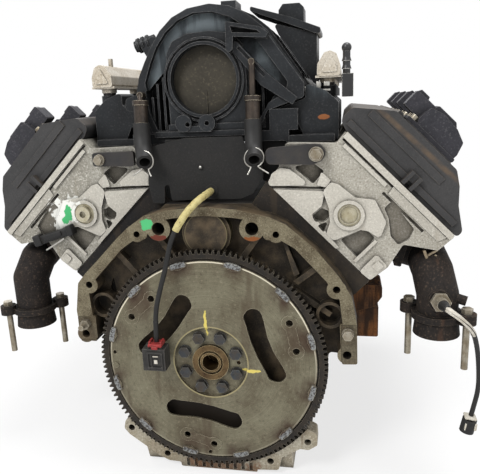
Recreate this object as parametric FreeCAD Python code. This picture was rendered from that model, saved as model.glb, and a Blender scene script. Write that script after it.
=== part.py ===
import FreeCAD, Part
import math
import os

# Rear view frame: origin in the crankshaft axis at the mouth of its pilot bore,
# +Y towards the front of the engine, +X to the right seen from behind, +Z up. Millimetres.

bore_radius = 49.65
piston_radius = 49.6
stroke = 92.0
bore_spacing = 112.0
rod_length = 155.6
deck_height = 235.0
gasket_thickness = 1.2
bank_stagger = 20.0
cam_height = 184.0

right_bank_rear = 38.0
bank_length = 453.0
first_bore = 58.0
crankcase_rear = 35.0
crankcase_front = 511.0
crankcase_bottom = -58.0
sump_bottom = -178.0

main_journal = 32.5
pin_journal = 26.7
journal_play = 0.05
main_web = 24.0
first_main = 51.0
pin_angles = [0.0, 90.0, 270.0, 180.0]

disc_radius = 150.0
tooth_tip = 165.0
tooth_root = 159.5
ring_teeth = 130
dish_radius = 53.0
dish_depth = 4.0
disc_thickness = 3.0
hub_radius = 26.5
pilot_radius = 12.0
pad_circles = ((124.0, -9.4), (130.0, 9.4))
weld_reach = 152.5

flange_face = 8.0
pilot_depth = 30.0
rail_height = 356.2
chain_plane = 524.0
crank_teeth = 18
cam_teeth = 36
chain_pitch = 9.525

root_two = math.sqrt(2.0)


def vec(x, y, z):
    return FreeCAD.Vector(x, y, z)


def bank(points):
    """Right bank points (along the bore axis, outwards from it) as points across the engine."""
    return [((u + v) / root_two, (u - v) / root_two) for u, v in points]


def polar(radius, angle):
    turn = math.radians(angle)
    return (radius * math.cos(turn), radius * math.sin(turn))


def outline(points, radius=0.0):
    """Closed wire in the XZ plane with every corner rounded as far as its sides allow."""
    corners = [vec(x, 0, z) for x, z in points]
    runs = []
    for index, corner in enumerate(corners):
        before = corners[index - 1] - corner
        after = corners[(index + 1) % len(corners)] - corner
        half = before.getAngle(after) / 2
        if radius == 0 or half > 1.5:
            runs.append([corner])
            continue
        reach = min(radius / math.tan(half), 0.45 * min(before.Length, after.Length))
        fillet = reach * math.tan(half)
        middle = (before.normalize() + after.normalize()).normalize()
        start = corner + before * reach
        end = corner + after * reach
        top = corner + middle * (fillet / math.sin(half) - fillet)
        runs.append([start, top, end])
    edges = []
    for index, run in enumerate(runs):
        if len(run) == 3:
            edges.append(Part.Arc(*run).toShape())
        following = runs[(index + 1) % len(runs)][0]
        edges.append(Part.LineSegment(run[-1], following).toShape())
    return Part.Wire(edges)


def prism(points, y0, y1, radius=0.0):
    face = Part.Face(outline(points, radius))
    face.translate(vec(0, y0, 0))
    return face.extrude(vec(0, y1 - y0, 0))


def side_prism(points, x0, x1, radius=0.0):
    """A profile given as (y, z) points, drawn out along X."""
    solid = prism(points, 0, x1 - x0, radius)
    solid.rotate(vec(0, 0, 0), vec(0, 0, 1), 90)
    solid.translate(vec(x1, 0, 0))
    return solid


def box(x0, x1, y0, y1, z0, z1):
    return Part.makeBox(x1 - x0, y1 - y0, z1 - z0, vec(x0, y0, z0))


def disc(radius, y0, y1, x=0.0, z=0.0):
    return Part.makeCylinder(radius, y1 - y0, vec(x, y0, z), vec(0, 1, 0))


def rod(start, end, radius):
    a = vec(*start)
    along = vec(*end) - a
    return Part.makeCylinder(radius, along.Length, a, along)


def cone(start, end, radius_start, radius_end):
    a = vec(*start)
    along = vec(*end) - a
    return Part.makeCone(radius_start, radius_end, along.Length, a, along)


def ring(start, end, outer, inner):
    return rod(start, end, outer).cut(rod(start, end, inner))


def hexagon(across, start, end):
    """Hexagonal bar between two points."""
    along = vec(*end) - vec(*start)
    corners = [vec(*polar(across / math.sqrt(3), 60 * k), 0) for k in range(7)]
    bar = Part.Face(Part.makePolygon(corners)).extrude(vec(0, 0, along.Length))
    bar.Placement = FreeCAD.Placement(vec(*start), FreeCAD.Rotation(vec(0, 0, 1), along))
    return bar


def fuse(shapes):
    joined = shapes[0].multiFuse(shapes[1:])
    return joined.removeSplitter()


def cut(body, tools):
    return body.cut(tools)


def mirror(shape, shift=0.0):
    other = shape.mirror(vec(0, 0, 0), vec(1, 0, 0))
    other.translate(vec(0, shift, 0))
    return other


def group(shapes):
    solids = []
    for shape in shapes:
        solids.extend(shape.Solids)
    return Part.makeCompound(solids)


def route(points, limits=None):
    """Straight runs joined by tangent arcs; each arc as large as its two runs allow."""
    corners = [vec(*point) for point in points]
    runs = [corners[i + 1] - corners[i] for i in range(len(corners) - 1)]
    edges = []
    radii = []
    here = corners[0]
    for index in range(1, len(corners) - 1):
        back = vec(*(-runs[index - 1]))
        ahead = vec(*runs[index])
        half_turn = (math.pi - back.getAngle(ahead)) / 2
        radius = 0.45 * min(back.Length, ahead.Length) / math.tan(half_turn)
        if limits:
            radius = min(radius, limits)
        reach = radius * math.tan(half_turn)
        back.normalize()
        ahead.normalize()
        start = corners[index] + back * reach
        end = corners[index] + ahead * reach
        inward = (back + ahead).normalize()
        top = corners[index] + inward * (radius / math.cos(half_turn) - radius)
        edges.append(Part.LineSegment(here, start).toShape())
        edges.append(Part.Arc(start, top, end).toShape())
        radii.append(round(radius, 1))
        here = end
    edges.append(Part.LineSegment(here, corners[-1]).toShape())
    return Part.Wire(edges), radii


def pipe(points, radius, limits=None):
    wire, radii = route(points, limits)
    first = vec(*points[1]) - vec(*points[0])
    circle = Part.Wire(Part.makeCircle(radius, vec(*points[0]), first))
    tube = wire.makePipeShell([circle], True, True)
    return tube, wire, radii


def elbowed(points, radius):
    """Straight lengths of round bar with a ball at every bend."""
    pieces = [rod(start, end, radius) for start, end in zip(points[:-1], points[1:])]
    pieces += [Part.makeSphere(radius, vec(*point)) for point in points[1:-1]]
    return fuse(pieces)


def bore_positions(side):
    start = right_bank_rear + first_bore
    if side < 0:
        start += bank_stagger
    return [start + bore_spacing * k for k in range(4)]


def main_positions():
    return [first_main + bore_spacing * k for k in range(5)]


def pin_positions():
    return [first_main + bore_spacing * (k + 0.5) for k in range(4)]


def cylinder_axis(side):
    return vec(side / root_two, 0, 1 / root_two)


# ---------------------------------------------------------------- engine block

cover_edge = [(-60, -56), (60, -56), (84, -20), (66, 60), (84, 140), (86, 204), (60, 258),
              (-60, 258), (-86, 204), (-84, 140), (-66, 60), (-84, -20)]

bell_outer = [(-165, 22), (-190, 23), (-198, 32), (-200, 70), (-193, 112), (-180, 127), (-160, 146),
              (-130, 176), (-110, 194), (-85, 211), (-50, 219), (0, 223), (45, 219), (88, 209),
              (110, 199), (130, 182), (150, 164), (180, 127), (196, 100), (203, 60), (203, 4),
              (165, 8), (160, -30), (-160, -30)]
bell_inner = [(-172, -40), (-176, 66), (-178, 104), (-162, 122), (-122, 163), (-100, 178),
              (-84, 178), (-74, 203), (-40, 208), (0, 211), (40, 208), (72, 203), (82, 178),
              (104, 177), (122, 166), (162, 122), (180, 96), (184, 62), (180, -40)]



def bank_prism():
    """The right cylinder bank from the crankcase to its deck."""
    points = [(60, 20), (138, 32)] + bank([(deck_height, 75), (deck_height, -120)]) + [(62, 222)]
    return prism(points, right_bank_rear, right_bank_rear + bank_length)


def bell_housing():
    plate = prism(bell_outer, flange_face, crankcase_rear + 12, 5)
    pocket = prism(bell_inner, flange_face - 1, crankcase_rear, 6)
    wall = cut(plate, [pocket])
    lugs = []
    for x, z, outer in [(65, 193, 17), (-65, 193, 17), (97, 185, 11), (-97, 185, 11),
                        (176, 110, 13), (-176, 110, 13), (190, 16, 13), (-190, 33, 13)]:
        lugs.append(disc(outer, flange_face, crankcase_rear + 2, x, z))
    lugs.append(prism([(183, 2), (204, 3), (203, 60), (180, 62)], flange_face, crankcase_rear, 3))
    lugs.append(prism([(-200, 26), (-172, 26), (-172, 62), (-200, 62)], flange_face,
                      crankcase_rear, 3))
    ribs = [prism([(60, 150), (66, 143), (170, 72), (166, 66), (56, 138)], 22, crankcase_rear + 1),
            prism([(-80, 185), (-74, 188), (-44, 150), (-52, 147)], 20, crankcase_rear + 1),
            prism([(80, 185), (74, 188), (44, 150), (52, 147)], 20, crankcase_rear + 1),
            prism([(104, 176), (109, 172), (126, 128), (119, 124)], 20, crankcase_rear + 1),
            prism([(148, 140), (154, 135), (124, 112), (118, 117)], 20, crankcase_rear + 1),
            prism([(-136, 152), (-130, 157), (-98, 120), (-104, 115)], 20, crankcase_rear + 1),
            disc(34, 18, crankcase_rear + 1, 0, cam_height),
            disc(30, 14, crankcase_rear + 1, 0, cam_height),
            disc(58, 26, crankcase_rear + 1)]
    for x, z in ((167, 70), (-161, 76)):
        ribs.append(cut(disc(19, 17, crankcase_rear + 1, x, z), [disc(15, 16, 40, x, z)]))
    pockets = [prism([(-158, 92), (-150, 112), (-98, 166), (-86, 160), (-92, 128), (-128, 84)],
                     22, crankcase_rear + 6, 8),
               prism([(72, 158), (98, 170), (116, 126), (96, 112)], 24, crankcase_rear + 5, 8)]
    for x0, x1, z0 in ((182, 206, 1), (-204, -172, 23)):
        pockets.append(box(x0, x1, flange_face - 1, flange_face + 1, z0, 61))
    body = cut(fuse([wall] + lugs + ribs), pockets)
    return body


def block_openings():
    """Everything bored, milled and cored out of the block."""
    tools = []
    for side in (1, -1):
        axis = cylinder_axis(side)
        for y in bore_positions(side):
            tools.append(Part.makeCylinder(bore_radius, deck_height, vec(0, y, 0) + axis * 60, axis))
    mains = main_positions()
    for first, second in zip(mains[:-1], mains[1:]):
        bay = disc(92, first + main_web / 2, second - main_web / 2)
        tools.append(bay)
        tools.append(box(-92, 92, first + main_web / 2, second - main_web / 2, -60, 0))
    tools.append(disc(main_journal + journal_play, crankcase_rear - 12, crankcase_front + 1))
    tools.append(disc(50.6, 0, crankcase_rear + 4))
    tools.append(disc(27.05, crankcase_rear - 20, crankcase_front + 1, 0, cam_height))
    for y in mains:
        tools.append(box(-52, 52, y - main_web / 2 - 5, y + main_web / 2 + 5, -60, 0))
    for side in (1, -1):
        tools.append(disc(9, 0, 40, 65 * side, 193))
        tools.append(disc(4.5, 0, 40, 97 * side, 185))
        tools.append(disc(5, 0, 40, 176 * side, 110))
    tools.append(disc(6, 0, 50, 190, 16))
    tools.append(disc(6, 0, 50, -190, 33))
    return tools


def engine_block():
    case = prism([(-100, crankcase_bottom), (100, crankcase_bottom), (108, 0), (138, 32),
                  (150, 120), (75, 210), (62, 222), (-62, 222), (-75, 210), (-150, 120),
                  (-138, 32), (-108, 0)], crankcase_rear, crankcase_front)
    front_plate = prism(cover_edge, crankcase_front - 12, crankcase_front, 10)
    tube_boss = rod((98, 486, -20), (109.5, 486, -20), 9)
    right_bank = bank_prism()
    left_bank = mirror(right_bank, bank_stagger)
    rails = [box(92, 124, crankcase_rear, crankcase_front, crankcase_bottom, -48),
             box(-124, -92, crankcase_rear, crankcase_front, crankcase_bottom, -48)]
    ribs = []
    for side in (1, -1):
        for y in bore_positions(side)[:3]:
            foot = prism([(100, -50), (120, -50), (150, 20), (200, 92), (190, 100), (130, 40)],
                         y + 50, y + 60)
            ribs.append(foot if side > 0 else mirror(foot))
    pads = [prism([(128, 8), (152, 30), (190, 68), (176, 84), (120, 30)], 128, 196)]
    pads.append(mirror(pads[0]))
    bell = bell_housing()
    body = fuse([case, right_bank, left_bank, bell, front_plate, tube_boss] + rails + ribs + pads)
    return cut(body, block_openings())


def main_bearing_caps():
    caps = []
    for y in main_positions():
        cap = prism([(-52, 0), (-52, -30), (-34, -55), (34, -55), (52, -30), (52, 0)],
                    y - main_web / 2, y + main_web / 2)
        caps.append(cut(cap, [disc(main_journal + journal_play, y - 20, y + 20)]))
    return group(caps)


def cam_core_plug():
    cup = disc(27.05, crankcase_rear - 9, crankcase_rear + 2, 0, cam_height)
    hollow = disc(24, crankcase_rear - 10, crankcase_rear - 1, 0, cam_height)
    return cut(cup, [hollow])


# ---------------------------------------------------------------- crankshaft group

def crank_cheek(y0, y1, angle):
    px, pz = polar(stroke / 2, angle)
    web = fuse([disc(35, y0, y1, px, pz), disc(42, y0, y1)])
    weight = disc(78, y0, y1)
    limit = box(-70, 70, y0 - 1, y1 + 1, -90, -12)
    weight = weight.common(limit)
    weight.rotate(vec(0, 0, 0), vec(0, 1, 0), 90 - angle)
    return fuse([web, weight])


def crankshaft():
    mains = main_positions()
    pieces = [disc(hub_radius, 0, 8), disc(50, 7, 34)]
    for y in mains:
        pieces.append(disc(main_journal, y - main_web / 2 - 1, y + main_web / 2 + 1))
    for y, angle in zip(pin_positions(), pin_angles):
        px, pz = polar(stroke / 2, angle)
        pieces.append(disc(pin_journal, y - 24, y + 24, px, pz))
        pieces.append(crank_cheek(y - 43, y - 23, angle))
        pieces.append(crank_cheek(y + 23, y + 43, angle))
    pieces.append(disc(main_journal, 33, mains[0]))
    pieces.append(disc(22, mains[-1], 648))
    shaft = fuse(pieces)
    groove = cut(disc(18, -1, 3), [disc(15, -2, 4)])
    return cut(shaft, [disc(pilot_radius, -1, pilot_depth), groove])


def sprocket(teeth, y0, y1, bore, x=0.0, z=0.0):
    radius = chain_pitch / 2 / math.sin(math.pi / teeth)
    points = []
    for k in range(teeth):
        step = 360.0 / teeth
        points.append(polar(radius - 3.5, step * (k - 0.32)))
        points.append(polar(radius + 3.2, step * (k - 0.12)))
        points.append(polar(radius + 3.2, step * (k + 0.12)))
        points.append(polar(radius - 3.5, step * (k + 0.32)))
    wheel = prism(points, y0, y1)
    wheel = cut(wheel, [disc(bore, y0 - 1, y1 + 1)])
    wheel.translate(vec(x, 0, z))
    return wheel


def window(centre_angle):
    """One kidney-shaped window of the flexplate, drawn about angle 0 and then turned."""
    left = polar(95, 29)
    right = polar(95, -29)
    points = [(67, 12), (70, 40), (left[0] - 13, left[1] + 4), (left[0], left[1] + 13),
              (left[0] + 14, left[1] + 6), (left[0] + 13, left[1] - 10), (92, 12), (92, -12),
              (right[0] + 13, right[1] + 10), (right[0] + 14, right[1] - 6),
              (right[0], right[1] - 13), (right[0] - 13, right[1] - 4), (70, -40), (67, -12)]
    hole = prism(points, -2, 12, 12)
    hole.rotate(vec(0, 0, 0), vec(0, 1, 0), -centre_angle)
    return hole


def flexplate():
    rim = disc(disc_radius, 0, disc_thickness)
    dish = disc(dish_radius + disc_thickness, 0, dish_depth + disc_thickness)
    plate = fuse([rim, dish, cut(disc(disc_radius, 0, 9), [disc(disc_radius - 4, -1, 10)])])
    tools = [disc(dish_radius, -1, dish_depth), disc(hub_radius + 0.3, -1, 12)]
    raised = []
    for angle in (20, 140, 260):
        tools.append(window(angle))
        corners = []
        for radius, offset in pad_circles:
            x, z = polar(radius, angle + offset)
            tools.append(disc(5, -2, 12, x, z))
            raised.append(disc(11, -1, 1, x, z))
            corners.append((x, z))
        raised.append(pad_bridge(corners))
    for k in range(8):
        x, z = polar(40, 22.5 + 45 * k)
        tools.append(disc(5.5, 3, 12, x, z))
    tools.append(disc(3, 0, 12, 40, 0))
    for x, z in ((-143, 10), (-8, -144)):
        tools.append(disc(3, -1, 12, x, z))
    for k in range(12):
        middle = 15 + 30 * k
        points = [polar(disc_radius - 5, middle - 4.4), polar(weld_reach - 1, middle - 4.6),
                  polar(weld_reach, middle), polar(weld_reach - 1, middle + 4.6),
                  polar(disc_radius - 5, middle + 4.4), polar(disc_radius - 8, middle)]
        raised.append(prism(points, -2.5, 1, 3))
    raised.append(disc(4.5, -2, 1, -143, -10))
    return cut(fuse([plate] + raised), tools)


def pad_bridge(corners):
    """Pressed web between the two bolt holes of one converter pad."""
    (x0, z0), (x1, z1) = corners
    length = math.hypot(x1 - x0, z1 - z0)
    across = (-(z1 - z0) / length * 7, (x1 - x0) / length * 7)
    return prism([(x0 + across[0], z0 + across[1]), (x1 + across[0], z1 + across[1]),
                  (x1 - across[0], z1 - across[1]), (x0 - across[0], z0 - across[1])], -1, 1)


def ring_gear():
    points = []
    step = 360.0 / ring_teeth
    for k in range(ring_teeth):
        points.append(polar(tooth_root, step * (k - 0.30)))
        points.append(polar(tooth_tip, step * (k - 0.13)))
        points.append(polar(tooth_tip, step * (k + 0.13)))
        points.append(polar(tooth_root, step * (k + 0.30)))
    gear = prism(points, 1.5, 12.5)
    return cut(gear, [disc(disc_radius, 0, 14), disc(disc_radius + 3, 0, 3.2)])


def flexplate_bolts():
    bolts = []
    for k in range(8):
        x, z = polar(40, 22.5 + 45 * k)
        head = hexagon(15, (x, dish_depth, z), (x, dish_depth - 7.5, z))
        washer = disc(9.2, dish_depth - 1.2, dish_depth, x, z)
        bolts.append(fuse([head, washer]))
    return group(bolts)


def crank_damper():
    hub = disc(40, 576, 640)
    rim = cut(disc(95, 596, 650), [disc(80, 580, 630)])
    web = disc(82, 628, 640)
    body = fuse([hub, rim, web])
    grooves = []
    for k in range(6):
        y = 604 + 4.6 * k
        grooves.append(cut(disc(96, y, y + 2.4), [disc(92, y - 1, y + 4)]))
    for k in range(4):
        x, z = polar(62, 45 + 90 * k)
        grooves.append(disc(12, 620, 655, x, z))
    grooves.append(disc(22, 570, 660))
    return cut(body, grooves)


def crank_bolt():
    return fuse([disc(24, 650, 655), hexagon(24, (0, 655, 0), (0, 669, 0))])


def camshaft():
    pieces = [disc(18, 44, chain_plane + 5, 0, cam_height)]
    for y in main_positions():
        pieces.append(disc(27, y - 9, y + 9, 0, cam_height))
    count = 0
    for side in (1, -1):
        for y in bore_positions(side):
            for offset in (-13, 13):
                x, z = polar(5.5, 75.0 * count)
                if abs(((y + offset - first_main + 20) % bore_spacing) - 20) > 16:
                    pieces.append(disc(20, y + offset - 5, y + offset + 5, x, cam_height + z))
                count += 1
    return fuse(pieces)


def chain_radius(teeth):
    return chain_pitch / 2 / math.sin(math.pi / teeth) + 3.2


def chain_belt(small, large, y0, y1):
    """Band round both sprockets: two discs joined by their common tangents."""
    lean = math.asin((large - small) / cam_height)
    cosine = math.cos(lean)
    sine = math.sin(lean)
    points = [(small * cosine, -small * sine), (large * cosine, cam_height - large * sine),
              (-large * cosine, cam_height - large * sine), (-small * cosine, -small * sine)]
    return fuse([disc(small, y0, y1), disc(large, y0, y1, 0, cam_height), prism(points, y0, y1)])


def timing_chain():
    small = chain_radius(crank_teeth) + 0.5
    large = chain_radius(cam_teeth) + 0.5
    outer = chain_belt(small + 6, large + 6, chain_plane - 4, chain_plane + 4)
    inner = chain_belt(small, large, chain_plane - 5, chain_plane + 5)
    return cut(outer, [inner])


# ---------------------------------------------------------------- pistons

def piston(side, y):
    """Piston at mid stroke with its ring grooves, skirts and wrist pin."""
    crown = 33.0
    pin = rod_length
    body = Part.makeCylinder(piston_radius, crown + 20, vec(0, 0, pin - 20), vec(0, 0, 1))
    tools = [Part.makeCylinder(41, 36, vec(0, 0, pin - 21), vec(0, 0, 1)),
             box(-60, 60, 32, 60, pin - 22, pin + 8),
             box(-60, 60, -60, -32, pin - 22, pin + 8)]
    for k in range(3):
        low = pin + 14 + 5.5 * k
        groove = Part.makeCylinder(piston_radius + 1, 2, vec(0, 0, low), vec(0, 0, 1))
        tools.append(groove.cut(Part.makeCylinder(46, 2, vec(0, 0, low), vec(0, 0, 1))))
    body = body.cut(tools)
    bosses = fuse([box(-14, 14, 14, 32, pin - 10, pin + 16), box(-14, 14, -32, -14, pin - 10, pin + 16)])
    body = fuse([body, bosses]).cut(rod((0, -40, pin), (0, 40, pin), 11.95))
    wrist = ring((0, -31, pin), (0, 31, pin), 11.95, 7)
    shapes = group([body, wrist])
    shapes.rotate(vec(0, 0, 0), vec(0, 1, 0), 45 * side)
    shapes.translate(vec(0, y, 0))
    return shapes


# ---------------------------------------------------------------- heads and covers

head_outline = [(236.2, -118), (236.2, 75), (266, 78), (302, 69), (328, 106), (rail_height, 107),
                (rail_height, -90), (336, -88), (291, -136), (262, -121)]


def head_gasket():
    right = bank([(deck_height, -118), (deck_height, 74), (deck_height + gasket_thickness, 74),
                  (deck_height + gasket_thickness, -118)])
    plate = prism(right, right_bank_rear + 1, right_bank_rear + bank_length - 1)
    axis = cylinder_axis(1)
    holes = [Part.makeCylinder(bore_radius + 1, 10, vec(0, y, 0) + axis * 230, axis)
             for y in bore_positions(1)]
    return cut(plate, holes)


def head_relief(y):
    """Raised shapes on the end face of a head; they stand out towards the viewer at the rear."""
    boss = prism([(158, 238), (168, 250), (178, 247), (200, 229), (225, 226), (240, 196),
                  (232, 174), (217, 184), (207, 186), (186, 177), (172, 171), (162, 180),
                  (167, 196), (166, 214)], y - 5, y + 6, 5)
    nose = prism([(84, 242), (128, 196), (150, 180), (172, 160), (180, 160), (166, 176),
                  (152, 196), (142, 206), (156, 218), (160, 238)], y - 4, y + 6, 3)
    lobe = prism([(84, 246), (90, 262), (102, 270), (114, 268), (142, 246)], y - 3, y + 6, 4)
    block = prism([(150, 246), (162, 243), (168, 252), (156, 264)], y - 3, y + 6, 2)
    rail = prism(bank([(348, -88), (rail_height, -88), (rail_height, 105), (348, 105)]), y - 4, y + 6)
    ridge = prism(bank([(339, -80), (344, -80), (344, -4), (339, -4)]), y - 3, y + 6)
    shoulder = prism(bank([(336, 6), (347, 4), (347, 100), (336, 96)]), y - 2, y + 6)
    low = prism([(206, 128), (220, 116), (243, 135), (228, 152)], y - 4, y + 6, 4)
    tie = prism([(198, 143), (201, 140), (229, 169), (226, 172)], y - 3, y + 6)
    seat = prism([(222, 136), (230, 128), (238, 136), (230, 144)], y - 6, y + 6, 2)
    shapes = [boss, nose, lobe, block, rail, ridge, shoulder, low, tie, seat,
              disc(20, y - 9, y + 6, 192, 206)]
    above_deck = prism(bank([(236.2, -140), (236.2, 130), (370, 130), (370, -140)]), y - 20, y + 20)
    return [shape.common(above_deck) for shape in shapes]


def head_pockets(y):
    """Hollows cored into the end face of a head."""
    return [prism([(118, 271), (146, 275), (160, 264), (145, 247)], y - 1, y + 9, 3),
            prism([(88, 242.5), (158, 240), (158, 243.5), (90, 246)], y - 6, y + 4),
            prism([(143, 204), (156, 215), (165, 211), (166, 201), (158, 195), (147, 197)],
                  y - 6, y + 9, 3),
            prism([(150, 192), (164, 196), (159, 181)], y - 6, y + 7, 2),
            prism([(180, 172), (196, 179), (208, 185), (217, 183), (226, 174), (212, 150),
                   (204, 145), (190, 160)], y - 1, y + 6, 3),
            prism([(243, 200), (237, 214), (246, 223), (262, 204), (276, 186), (270, 172),
                   (256, 164), (246, 176)], y - 1, y + 4, 4),
            prism(bank([(344.4, -86), (347.6, -86), (347.6, 100), (344.4, 100)]), y - 1, y + 4),
            prism(bank([(330, 0), (334, 0), (334, 74), (330, 74)]), y - 1, y + 4),
            disc(15.5, y - 10, y + 8, 192, 206)]


def cylinder_head():
    """Right head; the left one is the same casting turned end for end."""
    rear = right_bank_rear
    front = rear + bank_length
    body = prism(bank(head_outline), rear, front, 4)
    body = fuse([body] + head_relief(rear))
    tools = head_pockets(rear)
    axis = cylinder_axis(1)
    for y in bore_positions(1):
        tools.append(Part.makeCylinder(40, 12, vec(0, y, 0) + axis * 235, axis))
        tools.append(prism([(128, 306), (168, 306), (160, 282), (136, 282)], y - 14, y + 14))
        tools.append(rod((215, y, 165), (275, y, 146), 17))
    return cut(body, tools)


def head_plugs():
    right = cut(disc(15.5, right_bank_rear - 5, right_bank_rear + 8, 192, 206),
                [disc(12, right_bank_rear - 6, right_bank_rear - 2, 192, 206)])
    rear = right_bank_rear + bank_stagger
    washer = disc(15.5, rear - 8, rear + 8, -192, 206)
    bolt = fuse([washer, disc(11, rear - 15, rear - 7, -192, 206)])
    return group([right, cut(bolt, [disc(5, rear - 16, rear - 10, -192, 206)])])


cover_outline = [(rail_height, -92), (361, -106), (382, -105), (416, -62), (416, 46), (404, 64),
                 (386, 82), (366, 111), (rail_height, 111)]
cover_hollow = [(rail_height - 1, -86), (380, -98), (411, -58), (411, 42), (400, 60), (382, 78),
                (364, 100), (rail_height - 1, 102)]


def filler_point(height):
    """A point of the filler neck axis, between the two front coils of the right cover."""
    return vec(0, 376, 0) + cylinder_axis(1) * height + vec(1, 0, -1) * (-8 / root_two)


def valve_cover(side):
    rear = right_bank_rear + 7
    front = right_bank_rear + bank_length - 6
    shell = prism(bank(cover_outline), rear, front, 9)
    hollow = prism(bank(cover_hollow), rear + 5, front - 5, 5)
    body = cut(shell, [hollow])
    raised = [prism(bank([(362, -96), (370, -96), (370, 96), (362, 96)]), rear - 3, rear + 3),
              prism(bank([(358, 6), (378, 6), (378, 11), (358, 11)]), rear - 10, rear + 3),
              prism(bank([(358, 19), (378, 19), (378, 24), (358, 24)]), rear - 10, rear + 3),
              prism(bank([(366, 6), (378, 6), (378, 24), (366, 24)]), rear - 6, rear + 3),
              prism(bank([(388, -84), (398, -84), (398, 44), (388, 44)]), rear - 2, rear + 3)]
    raised.append(prism(bank([(414, -60), (420, -58), (420, -52), (414, -50)]), rear + 6, front - 6))
    for y in bore_positions(1):
        raised.append(prism(bank([(412, -44), (418, -44), (418, 40), (412, 40)]), y - 27, y + 27, 2))
    tools = []
    if side > 0:
        cap = filler_point(410)
        neck = Part.makeCylinder(23, 16, cap, cylinder_axis(1))
        raised.append(neck)
        tools.append(Part.makeCylinder(19.5, 30, cap - cylinder_axis(1) * 8, cylinder_axis(1)))
    body = cut(fuse([body] + raised), tools)
    return body if side > 0 else mirror(body, bank_stagger)


def oil_filler_cap():
    axis = cylinder_axis(1)
    seat = filler_point(426.4)
    skirt = Part.makeCylinder(24, 12, seat, axis)
    plug = Part.makeCylinder(19.2, 14, seat - axis * 13, axis)
    grip = Part.makeBox(38, 9, 14, vec(-19, -4.5, 0))
    grip.Placement = FreeCAD.Placement(seat + axis * 11, FreeCAD.Rotation(vec(0, 0, 1), axis))
    return fuse([skirt, plug, grip])


def ignition_coil(y):
    base = prism(bank([(418, -26), (430, -32), (450, -30), (455, -12), (453, 14), (446, 32),
                       (430, 38), (418, 38)]), y - 23, y + 23, 4)
    core = prism(bank([(426, -30), (459, -24), (459, 8), (440, 30)]), y - 13, y + 13, 3)
    plug = prism(bank([(430, -58), (455, -58), (455, -24), (430, -28)]), y - 12, y + 12, 3)
    latch = prism(bank([(455, -56), (459, -54), (459, -40), (455, -38)]), y - 6, y + 6)
    foot = prism(bank([(418, -44), (424, -44), (424, 40), (418, 40)]), y - 26, y + 26, 2)
    return fuse([base, core, plug, latch, foot])


def ignition_coils():
    coils = []
    for y in bore_positions(1):
        coil = ignition_coil(y)
        coils.append(coil)
        coils.append(mirror(coil, bank_stagger))
    return group(coils)


def cover_bolts():
    axis = cylinder_axis(1)
    bolts = []
    for y in bore_positions(1):
        for offset in (-20, 20):
            foot = vec(0, y + offset, 0) + vec(1, 0, -1) * (-37 / root_two)
            head = Part.makeCylinder(4.5, 6, foot + axis * 424, axis)
            bolts.append(head)
            bolts.append(mirror(head, bank_stagger))
    return bolts


# ---------------------------------------------------------------- intake

dome = [(-118, 352), (-116, 368), (-100, 372), (-94, 396), (-85, 414), (-74, 434), (-60, 454),
        (-42, 470), (-20, 480), (10, 484), (36, 480), (58, 470), (78, 454), (133, 378),
        (133, 360), (84, 345), (70, 318), (-80, 318), (-90, 346)]
dome_middle = (-3, 388)
intake_rear = 60.0
intake_front = 486.0


def intake_plenum():
    x, z = dome_middle
    y0 = intake_rear
    shell = prism(dome, y0, intake_front, 6)
    tools = [prism([(-84, 378), (-86, 388), (-76, 414), (-66, 434), (-52, 452), (-34, 466),
                    (-12, 474), (14, 474), (38, 466), (58, 452), (78, 428), (112, 380),
                    (108, 366), (80, 352), (60, 330), (-72, 330), (-80, 346)], y0 - 1, y0 + 10, 8),
             prism([(-86, 376), (-58, 404), (-56, 322), (-72, 322), (-82, 346)], y0, y0 + 26, 3),
             prism([(58, 412), (74, 402), (98, 372), (84, 352), (66, 322), (58, 322)],
                   y0, y0 + 26, 3)]
    hollow = prism([(-60, 356), (-62, 400), (-44, 440), (0, 462), (36, 452), (78, 400), (60, 356)],
                   y0 + 38, intake_front - 13, 10)
    shell = cut(shell, tools + [hollow, disc(45.95, y0, y0 + 23, x, z)])
    arch = prism([(-54, 322), (-54, 424), (-45, 440), (-24, 449), (8, 451), (38, 446), (52, 432),
                  (56, 404), (56, 322)], y0 + 4, y0 + 28, 6)
    inner = cut(fuse([arch, disc(50, y0, y0 + 28, x, z)]), [disc(46, y0 - 1, y0 + 23, x, z)])
    step = cut(disc(56, y0 + 1, y0 + 12, x, z), [disc(53.5, y0, y0 + 13, x, z)])
    body = fuse([shell, inner, step] + plenum_ribs() + plenum_fittings()
                + [band.cut(hollow) for band in plenum_bands()])
    front_bore = disc(44, intake_front - 14, intake_front + 1, 5, 400)
    pin_holes = [disc(3.2, y0 - 12, y0 - 3, -26, 330), disc(3.2, y0 - 12, y0 - 3, 1, 331)]
    return cut(body, [front_bore, disc(45.95, y0 - 1, y0 + 23, x, z)] + pin_holes)


def plenum_ribs():
    y0 = intake_rear
    return [box(x, x + 3, y0 + 6, y0 + 30, 322, top)
            for x, top in ((-80, 368), (-72, 386), (-63, 394), (64, 400), (76, 392))]


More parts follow.
